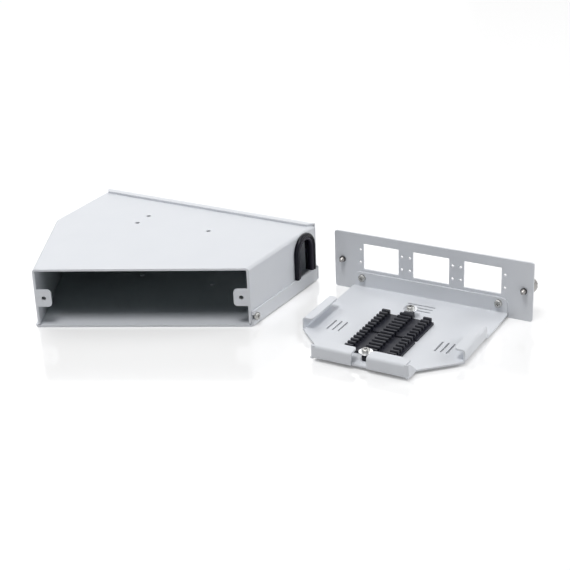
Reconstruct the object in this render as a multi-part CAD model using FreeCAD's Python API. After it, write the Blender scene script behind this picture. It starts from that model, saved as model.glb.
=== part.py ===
import FreeCAD, Part
import math
import os
from FreeCAD import Placement, Rotation, Vector

# Splice box for a 35 mm rail, in folded sheet steel, with its splice drawer taken out.
# The casing lies on its large face, as photographed. The drawer stands to its right,
# turned round, so that its panel shows its inner face and its tray points at the viewer.
# Row frame: X runs along the casing's back wall, Y away from the viewer, Z up.
# The origin is on the casing's underside, at the middle of the three-hole rail pattern.
# All sizes are in millimetres and all angles in degrees.

# Sheet metal
SHEET = 1.5
TRAY_SHEET = 1.2
BEND_INSIDE = 0.8
TRAY_BEND_INSIDE = 0.8
FIT = 0.1
MOVING_GAP = 0.3

# Casing outline, measured on the outer faces of the upper shell
CASE_HEIGHT = 43.4
BACK_LENGTH = 179.9
BACK_TO_ORIGIN = 41.8
LEFT_END_TO_ORIGIN = 87.6
LEFT_BACK_WALL = 67.5
LEFT_FRONT_WALL = 91.7
LEFT_FRONT_ANGLE = 26.9
MOUTH_WIDTH = 147.6
MOUTH_ANGLE = 24.8
FLANGE_HEIGHT = 11.5
FLANGE_SETBACK = 0.8
FLANGE_SLANT = 0.6
LEFT_FLANGE_SETBACK = 8.0
LIP_DEPTH = 6.8
LIP_MITRE = 3.6
SEAM_WIDTH = 0.5

# Mouth tabs, which take the thumbscrews
TAB_REACH = 11.3
TAB_HEIGHT = 12.4
TAB_CORNER = 2.7
TAB_HOLE_RADIUS = 1.6
THUMBSCREW_INSET = 6.1
THUMBSCREW_HEIGHT = 21.8
TAB_NUT_RADIUS = 3.0
TAB_NUT_HEIGHT = 2.0

# Screws that hold the two shells together
SHELL_SCREW_INSET = 4.2
SHELL_SCREW_HEIGHT = 6.8
SHELL_SLOT_HEIGHT = 3.6
SHELL_NUT_HEIGHT = 1.6
NUT_RIM_LEAST = 3.3

# M3 screws, all of one kind
SCREW_RADIUS = 1.5
SCREW_HEAD_RADIUS = 2.75
SCREW_HEAD_HEIGHT = 1.8
SCREW_HEAD_ROUND = 0.8
SCREW_CHAMFER = 0.3
THREAD_PLAY = 0.05
PRESS_PLAY = 0.05
SCREW_HOLE_RADIUS = 1.7
CROSS_LENGTH = 3.0
CROSS_WIDTH = 0.7
CROSS_DEPTH = 1.0

# Rail pattern: a pair of holes at one end and one hole at the other
PATTERN_LENGTH = 56.2
PATTERN_PAIR = 14.5

# Cable entry in the right wall and its rubber edge
ENTRY_FROM_BACK = 17.5
ENTRY_RADIUS = 8.0
ENTRY_TOP = 38.0
EDGE_WIDTH = 4.75
EDGE_NECK = 2.2
EDGE_OUTSIDE = 3.0
EDGE_INSIDE = 2.2
EDGE_STEP = 2.0
EDGE_ROUND = 1.1

# Rail clip on the back wall, for a 35 mm rail with 1 mm thick edges
RAIL_WIDTH = 35.0
RAIL_EDGE = 1.0
RAIL_PLAY = 0.3
CLIP_DEPTH = 7.0
CLIP_WIDTH = 26.0
CLIP_SHEET = 1.5
CLIP_END = 38.0
HOOK_REACH = 3.0
HOOK_WIDTH = 16.0
HOOK_SIDE_GAP = 0.6
HOOK_BEND_INSIDE = 0.5
CLIP_WINDOW = 5.5
SPACER_RADIUS = 3.0
LATCH_SHEET = 1.5
LATCH_TRAVEL = 4.0
LATCH_SIDE_GAP = 0.6
LATCH_TAIL = 12.0
LATCH_PULL = 60.0
PULL_SLOT_LENGTH = 9.0
PULL_SLOT_WIDTH = 4.0
SPRING_LENGTH = 16.0
SPRING_RADIUS = 2.0
SPRING_WIRE = 0.3
SPRING_TURNS = 8
GUIDE_LENGTH = 5.0
GUIDE_REACH = 2.6

# Front panel of the drawer
PANEL_OVERHANG = 0.2
PANEL_CLEARANCE = 0.5
PANEL_CORNER = 1.8
PANEL_SETBACK = 1.0
STAND_APART = 15.1
CUTOUT_COUNT = 3
CUTOUT_PITCH = 37.95
CUTOUT_WIDTH = 27.2
CUTOUT_HEIGHT = 19.6
CUTOUT_BOTTOM = 16.4
ADAPTER_HOLES_WIDE = 32.0
ADAPTER_HOLES_HIGH = 9.6
ADAPTER_HOLE_RADIUS = 1.0

# Thumbscrews
KNOB_RADIUS = 5.5
KNOB_LENGTH = 9.8
KNOB_EDGE = 0.6
KNOB_FLUTES = 24
FLUTE_HALF = 0.45
FLUTE_OUT = 0.1
KNOB_SLOT_WIDTH = 1.2
KNOB_SLOT_DEPTH = 1.2
COLLAR_RADIUS = 3.6
COLLAR_LENGTH = 1.0
SHOULDER_RADIUS = 1.75
SHOULDER_PLAY = 0.08
SHOULDER_END = 0.3
TIP_RADIUS = 1.4
TIP_LENGTH = 4.2
TIP_POINT = 0.4
RING_RADIUS = 2.3
RING_THICKNESS = 0.8
RING_OPENING = 45.0

# Splice tray
TRAY_OFFSET = -0.9
TRAY_WIDTH = 116.5
TRAY_DEPTH = 112.4
TRAY_LIFT = 2.1
TRAY_STRAIGHT = 78.1
TRAY_NEAR_WIDTH = 69.0
TRAY_NEAR_LENGTH = 11.3
TRAY_WALL = 9.4
SIDE_WALL_START = 40.0
SIDE_LIP = 7.5
NEAR_LIP = 9.8
LIP_CORNER = 2.6
GUSSET_END = 1.0
NOTCH_WIDTH = 11.0
NOTCH_DEPTH = 2.0
TRAY_FLANGE = 12.2
TRAY_FLANGE_INSET = 0.5
TRAY_FLANGE_CORNER = 5.0
TRAY_SCREW_SPACING = 102.5
TRAY_SCREW_ABOVE = 7.7
TIE_SLOT_WIDTH = 1.3
TIE_SLOT_PITCH = 4.2
TIE_SLOT_COUNT = 3
SIDE_SLOT_LENGTH = 14.6
SIDE_SLOT_MIDDLE = 65.0
SIDE_SLOT_INNER = 34.8
BACK_SLOT_LENGTH = 20.5
BACK_SLOT_SHARE = 0.55

# Splice combs, two alike, end to end
COMB_NEAR_GAP = 16.5
COMB_SLOTS = 6
COMB_PITCH = 4.35
COMB_TOOTH = 1.95
COMB_JOIN = 2.4
COMB_BASE_WIDTH = 38.8
COMB_BASE = 1.8
COMB_RAIL_TOP = 5.0
COMB_SLOT_FLOOR = 0.4
COMB_MIDDLE_RAIL = 9.4
COMB_SIDE_RAIL = 5.6
COMB_RAIL_SPREAD = 15.2
COMB_TAPER = 0.25
COMB_BEAD = 0.22
COMB_BEAD_BELOW = 0.8
COMB_WAIST_BELOW = 1.7
COMB_TAB_WIDTH = 5.4
COMB_SCREW_FROM_TEETH = 5.5
COMB_POST = 5.2
WASHER_RADIUS = 4.7
WASHER_THICKNESS = 0.8
SMALL_NUT_RADIUS = 2.7
COMB_NUT_RADIUS = 2.1
COMB_NUT_HEIGHT = 0.8
TRAY_NUT_PROUD = 0.6

# Places and sizes that follow from the ones above
BEND_OUTSIDE = BEND_INSIDE + SHEET
TRAY_BEND_OUTSIDE = TRAY_BEND_INSIDE + TRAY_SHEET
THREAD_RADIUS = SCREW_RADIUS + THREAD_PLAY
BACK_Y = BACK_TO_ORIGIN
MID_HEIGHT = CASE_HEIGHT / 2
UPPER_BOTTOM = SHEET + BEND_INSIDE
LOWER_TOP = CASE_HEIGHT + FIT + SHEET
NESTED = SHEET + FIT
THUMBSCREW_SPACING = MOUTH_WIDTH - 2 * THUMBSCREW_INSET
PANEL_WIDTH = MOUTH_WIDTH + 2 * PANEL_OVERHANG
PANEL_HEIGHT = CASE_HEIGHT - PANEL_CLEARANCE
COMB_LENGTH = COMB_SLOTS * COMB_PITCH + COMB_TOOTH
COMB_START = TRAY_DEPTH - COMB_NEAR_GAP - 2 * COMB_LENGTH - COMB_JOIN

# Cutters reach past the sheet by the overcut, and past a whole flange by the step out
OVERCUT = 1.0
STEP_OUT = 5.0
ALONG_X = Vector(1, 0, 0)
ALONG_Y = Vector(0, 1, 0)
ALONG_Z = Vector(0, 0, 1)


def side_by_angle(start, length, angle):
    """End of a straight side that leaves start at an angle from +X."""
    turn = math.radians(angle)
    return (start[0] + length * math.cos(turn), start[1] + length * math.sin(turn))


BACK_LEFT = (-LEFT_END_TO_ORIGIN, BACK_Y)
LEFT_KNEE = (BACK_LEFT[0], BACK_Y - LEFT_BACK_WALL)
MOUTH_LEFT = side_by_angle(LEFT_KNEE, LEFT_FRONT_WALL, LEFT_FRONT_ANGLE - 90)
MOUTH_RIGHT = side_by_angle(MOUTH_LEFT, MOUTH_WIDTH, MOUTH_ANGLE)
BACK_RIGHT = (BACK_LEFT[0] + BACK_LENGTH, BACK_Y)

# The outline runs anticlockwise: mouth, right wall, back wall, left back wall, left front wall
CASE_OUTLINE = [MOUTH_LEFT, MOUTH_RIGHT, BACK_RIGHT, BACK_LEFT, LEFT_KNEE]
CASE_SIDES = ("mouth", "right", "back", "left_rear", "left_front")
WALLED_SIDES = [CASE_SIDES.index(name) for name in ("right", "left_rear", "left_front")]


def shifted(corners, insets):
    """Corners of an outline whose side i is moved inwards by insets[i]."""
    count = len(corners)
    lines = []
    for i in range(count):
        (ax, ay), (bx, by) = corners[i], corners[(i + 1) % count]
        length = math.hypot(bx - ax, by - ay)
        ux, uy = (bx - ax) / length, (by - ay) / length
        lines.append((ax - uy * insets[i], ay + ux * insets[i], ux, uy))
    result = []
    for i in range(count):
        px, py, ux, uy = lines[i - 1]
        qx, qy, vx, vy = lines[i]
        along = ((qx - px) * vy - (qy - py) * vx) / (ux * vy - uy * vx)
        result.append((px + ux * along, py + uy * along))
    return result


def prism(corners, bottom, top):
    """Straight solid over a plan outline."""
    points = [Vector(x, y, bottom) for x, y in corners]
    face = Part.Face(Part.makePolygon(points + points[:1]))
    return face.extrude(Vector(0, 0, top - bottom))


def side_frame(corners, index):
    """Placement on one side: x along it, y inwards, z up, with the side's length."""
    (ax, ay), (bx, by) = corners[index], corners[(index + 1) % len(corners)]
    angle = math.degrees(math.atan2(by - ay, bx - ax))
    place = Placement(Vector(ax, ay, 0), Rotation(Vector(0, 0, 1), angle))
    return place, math.hypot(bx - ax, by - ay)


def case_side(name):
    """Placement on one of the casing's sides, with its length."""
    return side_frame(CASE_OUTLINE, CASE_SIDES.index(name))


def placed(shape, place):
    """Copy of a shape moved by a placement."""
    copy = shape.copy()
    copy.Placement = place.multiply(copy.Placement)
    return copy


def box(x0, x1, y0, y1, z0, z1):
    """Box between two opposite corners."""
    return Part.makeBox(x1 - x0, y1 - y0, z1 - z0, Vector(x0, y0, z0))


def rod(radius, start, end):
    """Cylinder from one point to another."""
    axis = end.sub(start)
    return Part.makeCylinder(radius, axis.Length, start, axis)


def round_slot(length, width, depth):
    """Cutter for a slot with round ends, along X, centred on the origin, going down and up."""
    half = (length - width) / 2
    body = box(-half, half, -width / 2, width / 2, -depth, depth)
    ends = [rod(width / 2, Vector(x, 0, -depth), Vector(x, 0, depth)) for x in (-half, half)]
    return body.multiFuse(ends).removeSplitter()


def near(value, target):
    """Whether two sizes are the same, to a hundredth."""
    return abs(value - target) < 0.01


def corner_edges(shape, axis, wanted):
    """Straight edges that run along an axis and whose two ends both pass the test."""
    edges = []
    for edge in shape.Edges:
        ends = [v.Point for v in edge.Vertexes]
        if len(ends) == 2 and abs(abs(ends[1].sub(ends[0]).normalize().dot(axis)) - 1) < 1e-6 \
                and all(wanted(p) for p in ends):
            edges.append(edge)
    return edges


def rim_edges(shape, level, least=0.0):
    """Full circles that lie level at a height and are longer than a least length."""
    return [e for e in shape.Edges if len(e.Vertexes) == 1 and near(e.Vertexes[0].Point.z, level)
            and near(e.BoundBox.ZLength, 0) and e.Length > least]


def bent_section(points, thickness, inside, lay):
    """Face of a folded strip. The strip lies to the left of the path, and lay maps it to space."""
    count = len(points)
    heads = []
    for i in range(count - 1):
        dx, dy = points[i + 1][0] - points[i][0], points[i + 1][1] - points[i][1]
        length = math.hypot(dx, dy)
        heads.append((dx / length, dy / length))

    def offset_line(gap):
        line = [(points[0][0] - heads[0][1] * gap, points[0][1] + heads[0][0] * gap)]
        for i in range(1, count - 1):
            (ux, uy), (vx, vy) = heads[i - 1], heads[i]
            scale = gap / (1 + ux * vx + uy * vy)
            line.append((points[i][0] - (uy + vy) * scale, points[i][1] + (ux + vx) * scale))
        line.append((points[-1][0] - heads[-1][1] * gap, points[-1][1] + heads[-1][0] * gap))
        return line

    def edges_along(line, radius_left, radius_right):
        edges, last = [], line[0]
        for i in range(1, count - 1):
            (ux, uy), (vx, vy) = heads[i - 1], heads[i]
            turn = math.atan2(ux * vy - uy * vx, ux * vx + uy * vy)
            radius = radius_left if turn > 0 else radius_right
            cut = radius * math.tan(abs(turn) / 2)
            enter = (line[i][0] - ux * cut, line[i][1] - uy * cut)
            leave = (line[i][0] + vx * cut, line[i][1] + vy * cut)
            side = 1 if turn > 0 else -1
            centre = (enter[0] - uy * radius * side, enter[1] + ux * radius * side)
            mid_x, mid_y = line[i][0] - centre[0], line[i][1] - centre[1]
            reach = radius / math.hypot(mid_x, mid_y)
            middle = (centre[0] + mid_x * reach, centre[1] + mid_y * reach)
            edges.append(Part.LineSegment(lay(*last), lay(*enter)).toShape())
            edges.append(Part.Arc(lay(*enter), lay(*middle), lay(*leave)).toShape())
            last = leave
        edges.append(Part.LineSegment(lay(*last), lay(*line[-1])).toShape())
        return edges

    outer = edges_along(points, inside + thickness, inside)
    inner_line = offset_line(thickness)
    inner = edges_along(inner_line, inside, inside + thickness)
    start = Part.LineSegment(lay(*inner_line[0]), lay(*points[0])).toShape()
    end = Part.LineSegment(lay(*points[-1]), lay(*inner_line[-1])).toShape()
    wire = Part.Wire(Part.__sortEdges__([start] + outer + [end] + inner))
    return Part.Face(wire)


def pan_screw(shank):
    """M3 pan-head screw along -Z, its head's seat at the origin, with a cross recess."""
    head = rod(SCREW_HEAD_RADIUS, Vector(0, 0, 0), Vector(0, 0, SCREW_HEAD_HEIGHT))
    head = head.makeFillet(SCREW_HEAD_ROUND, rim_edges(head, SCREW_HEAD_HEIGHT))
    top = SCREW_HEAD_HEIGHT
    for across in (0, 1):
        wide, deep = (CROSS_LENGTH, CROSS_WIDTH) if across else (CROSS_WIDTH, CROSS_LENGTH)
        head = head.cut(box(-wide / 2, wide / 2, -deep / 2, deep / 2, top - CROSS_DEPTH, top + OVERCUT))
    body = rod(SCREW_RADIUS, Vector(0, 0, -shank), Vector(0, 0, SCREW_HEAD_HEIGHT - CROSS_DEPTH))
    body = body.makeChamfer(SCREW_CHAMFER, rim_edges(body, -shank))
    return head.fuse(body).removeSplitter()


def pointing(position, direction):
    """Placement that turns +Z to a direction."""
    return Placement(position, Rotation(Vector(0, 0, 1), direction))


def ring(outer, inner, height):
    """Ring on the XY plane."""
    body = rod(outer, Vector(0, 0, 0), Vector(0, 0, height))
    return body.cut(rod(inner, Vector(0, 0, -OVERCUT), Vector(0, 0, height + OVERCUT)))


def clinch_nut(radius, height):
    """Press-in nut along +Z, standing on the sheet, with a chamfered rim."""
    nut = ring(radius, THREAD_RADIUS, height)
    return nut.makeChamfer(SCREW_CHAMFER, rim_edges(nut, height, NUT_RIM_LEAST * math.pi))


def rail_pattern():
    """Centres of the three rail holes in the pattern's own plane: along, across."""
    half = PATTERN_LENGTH / 2
    return [(-half, -PATTERN_PAIR / 2), (-half, PATTERN_PAIR / 2), (half, 0.0)]


def wall_screw_places():
    """Places of the shell screws: the wall's placement and the distance along it."""
    right, _ = case_side("right")
    left, length = case_side("left_rear")
    return [(right, SHELL_SCREW_INSET), (left, length / 2)]


def wall_screw_hole(place, station, y0, y1):
    """Cutter for a shell screw's hole between two depths."""
    hole = rod(SCREW_HOLE_RADIUS, Vector(station, y0, SHELL_SCREW_HEIGHT),
               Vector(station, y1, SHELL_SCREW_HEIGHT))
    return placed(hole, place)


def entry_place():
    """Placement on the right wall's outer face, under the cable entry's middle: x along, y inwards."""
    place, length = case_side("right")
    return place.multiply(Placement(Vector(length - ENTRY_FROM_BACK, 0, 0), Rotation()))


def make_upper_shell():
    """Top sheet with three walls folded down, open at the back and at the mouth."""
    outer_plan = shifted(CASE_OUTLINE, [0, 0, NESTED, 0, 0])
    outer = prism(outer_plan, UPPER_BOTTOM, CASE_HEIGHT)
    inner_plan = shifted(CASE_OUTLINE, [-STEP_OUT, SHEET, -STEP_OUT, SHEET, SHEET])
    inner = prism(inner_plan, UPPER_BOTTOM - STEP_OUT, CASE_HEIGHT - SHEET)
    outer = round_wall_tops(outer, outer_plan, CASE_HEIGHT, BEND_OUTSIDE)
    inner = round_wall_tops(inner, inner_plan, CASE_HEIGHT - SHEET, BEND_INSIDE)
    shell = outer.cut(inner)
    shell = shell.fuse(mouth_tabs()).removeSplitter()
    cutters = [tab_hole(x) for x in thumbscrew_stations()]
    for along, across in rail_pattern():
        cutters.append(rod(SCREW_HOLE_RADIUS, Vector(along, across, MID_HEIGHT),
                           Vector(along, across, LOWER_TOP)))
    for place, station in wall_screw_places():
        cutters.append(wall_screw_hole(place, station, -STEP_OUT, STEP_OUT))
    entry = arch(ENTRY_RADIUS + EDGE_NECK, -STEP_OUT, STEP_OUT, UPPER_BOTTOM - OVERCUT)
    cutters.append(placed(entry, entry_place()))
    cutters.append(knee_seam())
    cutters.append(lip_relief())
    for cutter in cutters:
        shell = shell.cut(cutter)
    return shell


def round_wall_tops(shape, plan, level, radius):
    """Rounds the top edges over the right wall and the two left walls."""
    sides = [(plan[i], plan[(i + 1) % len(plan)]) for i in WALLED_SIDES]

    def is_wall_top(edge):
        ends = [v.Point for v in edge.Vertexes]
        if not all(near(p.z, level) for p in ends):
            return False
        for a, b in sides:
            for p, q in ((a, b), (b, a)):
                if math.hypot(ends[0].x - p[0], ends[0].y - p[1]) < 0.01 \
                        and math.hypot(ends[1].x - q[0], ends[1].y - q[1]) < 0.01:
                    return True
        return False

    return shape.makeFillet(radius, [e for e in shape.Edges if is_wall_top(e)])


def lip_relief():
    """Step along the top's back edge, which clears the inside of the lip's bend."""
    return box(BACK_LEFT[0] - OVERCUT, BACK_RIGHT[0] + OVERCUT, BACK_Y - BEND_OUTSIDE - FIT, BACK_Y,
               CASE_HEIGHT - BEND_INSIDE - FIT, CASE_HEIGHT + OVERCUT)


def knee_seam():
    """Open seam between the two left walls, below the top's bend."""
    return box(LEFT_KNEE[0] - SHEET, LEFT_KNEE[0] + SHEET + FIT, LEFT_KNEE[1] - SEAM_WIDTH / 2,
               LEFT_KNEE[1] + SEAM_WIDTH / 2, 0, CASE_HEIGHT - BEND_OUTSIDE)


def thumbscrew_stations():
    """Distances along the mouth of the two thumbscrew axes."""
    return [(MOUTH_WIDTH - THUMBSCREW_SPACING) / 2, (MOUTH_WIDTH + THUMBSCREW_SPACING) / 2]


def mouth_tabs():
    """Two tabs in the mouth's plane, folded in from the side walls."""
    place, _ = case_side("mouth")
    low, high = THUMBSCREW_HEIGHT - TAB_HEIGHT / 2, THUMBSCREW_HEIGHT + TAB_HEIGHT / 2
    tabs = []
    inner_end = MOUTH_WIDTH - TAB_REACH
    for start, end, free in ((FIT / 2, TAB_REACH, TAB_REACH), (inner_end, MOUTH_WIDTH - FIT / 2, inner_end)):
        tab = box(start, end, 0, SHEET, low, high)
        tab = tab.makeFillet(TAB_CORNER, corner_edges(tab, ALONG_Y, lambda p, free=free: near(p.x, free)))
        tabs.append(tab)
    return placed(Part.makeCompound(tabs), place)


def tab_hole(station):
    """Cutter for a thumbscrew hole in a tab."""
    place, _ = case_side("mouth")
    hole = rod(TAB_HOLE_RADIUS, Vector(station, -OVERCUT, THUMBSCREW_HEIGHT),
               Vector(station, SHEET + OVERCUT, THUMBSCREW_HEIGHT))
    return placed(hole, place)


def arch(radius, y0, y1, foot):
    """Arch-shaped solid across the right wall, with its crown centre at the entry's."""
    centre = ENTRY_TOP - ENTRY_RADIUS
    legs = box(-radius, radius, y0, y1, foot, centre)
    crown = rod(radius, Vector(0, y0, centre), Vector(0, y1, centre))
    return legs.fuse(crown).removeSplitter()


def make_lower_shell():
    """Floor with low outer flanges and a full back wall whose top folds forward over the upper shell."""
    outer_plan = shifted(CASE_OUTLINE, [0, -NESTED, 0, -NESTED, -NESTED])
    inner_plan = shifted(CASE_OUTLINE, [-STEP_OUT, -FIT, SHEET, -FIT, -FIT])
    outer = prism(outer_plan, 0, FLANGE_HEIGHT)
    inner = prism(inner_plan, SHEET, FLANGE_HEIGHT + STEP_OUT)
    outer = round_floor_edges(outer, outer_plan, 0, BEND_OUTSIDE)
    inner = round_floor_edges(inner, inner_plan, SHEET, BEND_INSIDE)
    shell = outer.cut(inner)
    back, left_rear = CASE_SIDES.index("back"), CASE_SIDES.index("left_rear")
    left, right = outer_plan[left_rear][0], outer_plan[back][0]
    path = [(BACK_Y, FLANGE_HEIGHT - STEP_OUT), (BACK_Y, LOWER_TOP), (BACK_Y - LIP_DEPTH, LOWER_TOP)]
    section = bent_section(path, SHEET, BEND_INSIDE, lambda a, b: Vector(left, a, b))
    wall = section.extrude(Vector(right - left, 0, 0))
    shell = shell.fuse(wall).removeSplitter()
    cutters = [lip_end(BACK_LEFT[0], -1), lip_end(BACK_RIGHT[0], 1)]
    for along, across in rail_pattern():
        cutters.append(rod(SCREW_HOLE_RADIUS, Vector(along, across, -OVERCUT),
                           Vector(along, across, SHEET + OVERCUT)))
        cutters.append(rod(SCREW_HOLE_RADIUS, Vector(along, BACK_Y - SHEET - OVERCUT, MID_HEIGHT + across),
                           Vector(along, BACK_Y + OVERCUT, MID_HEIGHT + across)))
    (right_place, station), (left_place, left_station) = wall_screw_places()
    cutters.append(placed(flange_end(FLANGE_SETBACK), right_place))
    cutters.extend(placed(shape, right_place) for shape in screw_slot(station))
    cutters.append(wall_screw_hole(left_place, left_station, -STEP_OUT, -FIT / 2))
    front_place, front = case_side("left_front")
    left_end = box(front - LEFT_FLANGE_SETBACK, front + STEP_OUT, -STEP_OUT, -FIT / 2, BEND_OUTSIDE,
                   FLANGE_HEIGHT + OVERCUT)
    cutters.append(placed(left_end, front_place))
    cutters.extend(flange_seams(outer_plan))
    for cutter in cutters:
        shell = shell.cut(cutter)
    return shell


def lip_end(edge, way):
    """Cutter for one end of the back wall above the flange: level with the walls, the lip cut to a slant."""
    out = edge + way * STEP_OUT
    front = BACK_Y - LIP_DEPTH - OVERCUT
    inner = edge - way * LIP_MITRE
    corners = [(edge, BACK_Y + OVERCUT), (edge, BACK_Y - BEND_OUTSIDE), (inner, BACK_Y - LIP_DEPTH),
               (inner, front), (out, front), (out, BACK_Y + OVERCUT)]
    return prism(corners, FLANGE_HEIGHT, LOWER_TOP + OVERCUT)


def flange_seams(plan):
    """Cutters for the open seams between the flanges and the back wall, and at the left knee."""
    low, high = BEND_OUTSIDE, FLANGE_HEIGHT + FIT
    seam = BACK_Y - SHEET
    corners = dict(zip(CASE_SIDES, plan))
    right = box(BACK_RIGHT[0], corners["back"][0] + FIT, seam - SEAM_WIDTH, seam, low, high)
    left = box(corners["left_rear"][0] - FIT, BACK_LEFT[0], seam - SEAM_WIDTH, seam, low, high)
    x, y = corners["left_front"]
    knee = box(x - FIT, x + SHEET + FIT / 2, y - SEAM_WIDTH / 2, y + SEAM_WIDTH / 2, low, high)
    return [right, left, knee]


def flange_end(setback):
    """Cutter for the slanted front end of the right flange, in the wall's own placement."""
    top = FLANGE_HEIGHT + OVERCUT
    slant = [(-STEP_OUT, BEND_OUTSIDE), (setback - FLANGE_SLANT, BEND_OUTSIDE), (setback, SHELL_SCREW_HEIGHT),
             (setback, top), (-STEP_OUT, top)]
    points = [Vector(x, -STEP_OUT, z) for x, z in slant]
    return Part.Face(Part.makePolygon(points + points[:1])).extrude(Vector(0, STEP_OUT - FIT / 2, 0))


def screw_slot(station):
    """Cutters for the slot that runs from a flange's front end round a shell screw."""
    half, height = SHELL_SLOT_HEIGHT / 2, SHELL_SCREW_HEIGHT
    slot = box(-STEP_OUT, station, -STEP_OUT, -FIT / 2, height - half, height + half)
    turn = rod(half, Vector(station, -STEP_OUT, height), Vector(station, -FIT / 2, height))
    return [slot, turn]


def round_floor_edges(shape, plan, level, radius):
    """Rounds the bottom edges under every wall but the mouth."""
    edges = []
    for edge in shape.Edges:
        ends = [v.Point for v in edge.Vertexes]
        if not all(near(p.z, level) for p in ends):
            continue
        at_mouth = all(min(math.hypot(p.x - c[0], p.y - c[1]) for c in plan[:2]) < 0.01 for p in ends)
        if not at_mouth:
            edges.append(edge)
    return shape.makeFillet(radius, edges)


def make_cable_grommet():
    """Rubber edging clipped over the arch of the cable entry, standing on the flange."""
    inner, outer = ENTRY_RADIUS, ENTRY_RADIUS + EDGE_WIDTH
    neck = ENTRY_RADIUS + EDGE_NECK - FIT / 2
    behind, step = SHEET + FIT / 2, outer - EDGE_STEP
    section = [(inner, -EDGE_OUTSIDE), (outer, -EDGE_OUTSIDE), (outer, -FIT / 2), (neck, -FIT / 2),
               (neck, behind), (step, behind), (step, SHEET + EDGE_INSIDE), (inner, SHEET + EDGE_INSIDE)]
    centre = ENTRY_TOP - ENTRY_RADIUS
    foot = FLANGE_HEIGHT + FIT
    parts = []
    for way in (1, -1):
        points = [Vector(r * way, y, foot) for r, y in section]
        leg = Part.Face(Part.makePolygon(points + points[:1])).extrude(Vector(0, 0, centre - foot))
        parts.append(leg)
    points = [Vector(r, y, centre) for r, y in section]
    profile = Part.Face(Part.makePolygon(points + points[:1]))
    crown = profile.revolve(Vector(0, 0, centre), Vector(0, 1, 0), -180)
    body = crown.multiFuse(parts).removeSplitter()

    def on_outer_face(edge):
        ends = [v.Point for v in edge.Vertexes]
        return all(near(p.y, -EDGE_OUTSIDE) for p in ends) and not all(near(p.z, foot) for p in ends)

    body = body.makeFillet(EDGE_ROUND, [e for e in body.Edges if on_outer_face(e)])
    return placed(body, entry_place())


def make_tab_nuts():
    """Press-in nuts behind the two mouth tabs."""
    place, _ = case_side("mouth")
    nuts = []
    for station in thumbscrew_stations():
        nut = placed(clinch_nut(TAB_NUT_RADIUS, TAB_NUT_HEIGHT),
                     pointing(Vector(station, SHEET, THUMBSCREW_HEIGHT), Vector(0, 1, 0)))
        nuts.append(placed(nut, place))
    return Part.makeCompound(nuts)


def make_shell_screws():
    """Screws through the flange slots into the upper shell's walls."""
    screws = []
    shank = NESTED + SHEET + SHELL_NUT_HEIGHT
    for place, station in wall_screw_places():
        spot = Vector(station, -NESTED, SHELL_SCREW_HEIGHT)
        screw = placed(pan_screw(shank), pointing(spot, Vector(0, -1, 0)))
        screws.append(placed(screw, place))
    return Part.makeCompound(screws)


def make_shell_nuts():
    """Press-in nuts inside the walls for the shell screws."""
    nuts = []
    for place, station in wall_screw_places():
        nut = placed(clinch_nut(SMALL_NUT_RADIUS, SHELL_NUT_HEIGHT),
                     pointing(Vector(station, SHEET, SHELL_SCREW_HEIGHT), Vector(0, 1, 0)))
        nuts.append(placed(nut, place))
    return Part.makeCompound(nuts)


# Rail clip levels, measured out from the back wall
SEAT_Y = BACK_Y + CLIP_DEPTH
WEB_Y = SEAT_Y - CLIP_SHEET
HOOK_TOP_Y = SEAT_Y + RAIL_EDGE + RAIL_PLAY + CLIP_SHEET
HOOK_FACE_X = RAIL_WIDTH / 2 + RAIL_PLAY
HOOK_TIP_X = RAIL_WIDTH / 2 - HOOK_REACH
LATCH_TOP_Y = WEB_Y - MOVING_GAP
LATCH_Y = LATCH_TOP_Y - LATCH_SHEET
SPRING_Y = LATCH_TOP_Y - SPRING_RADIUS - SPRING_WIRE
SPRING_START_X = -SPRING_LENGTH / 2


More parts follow.
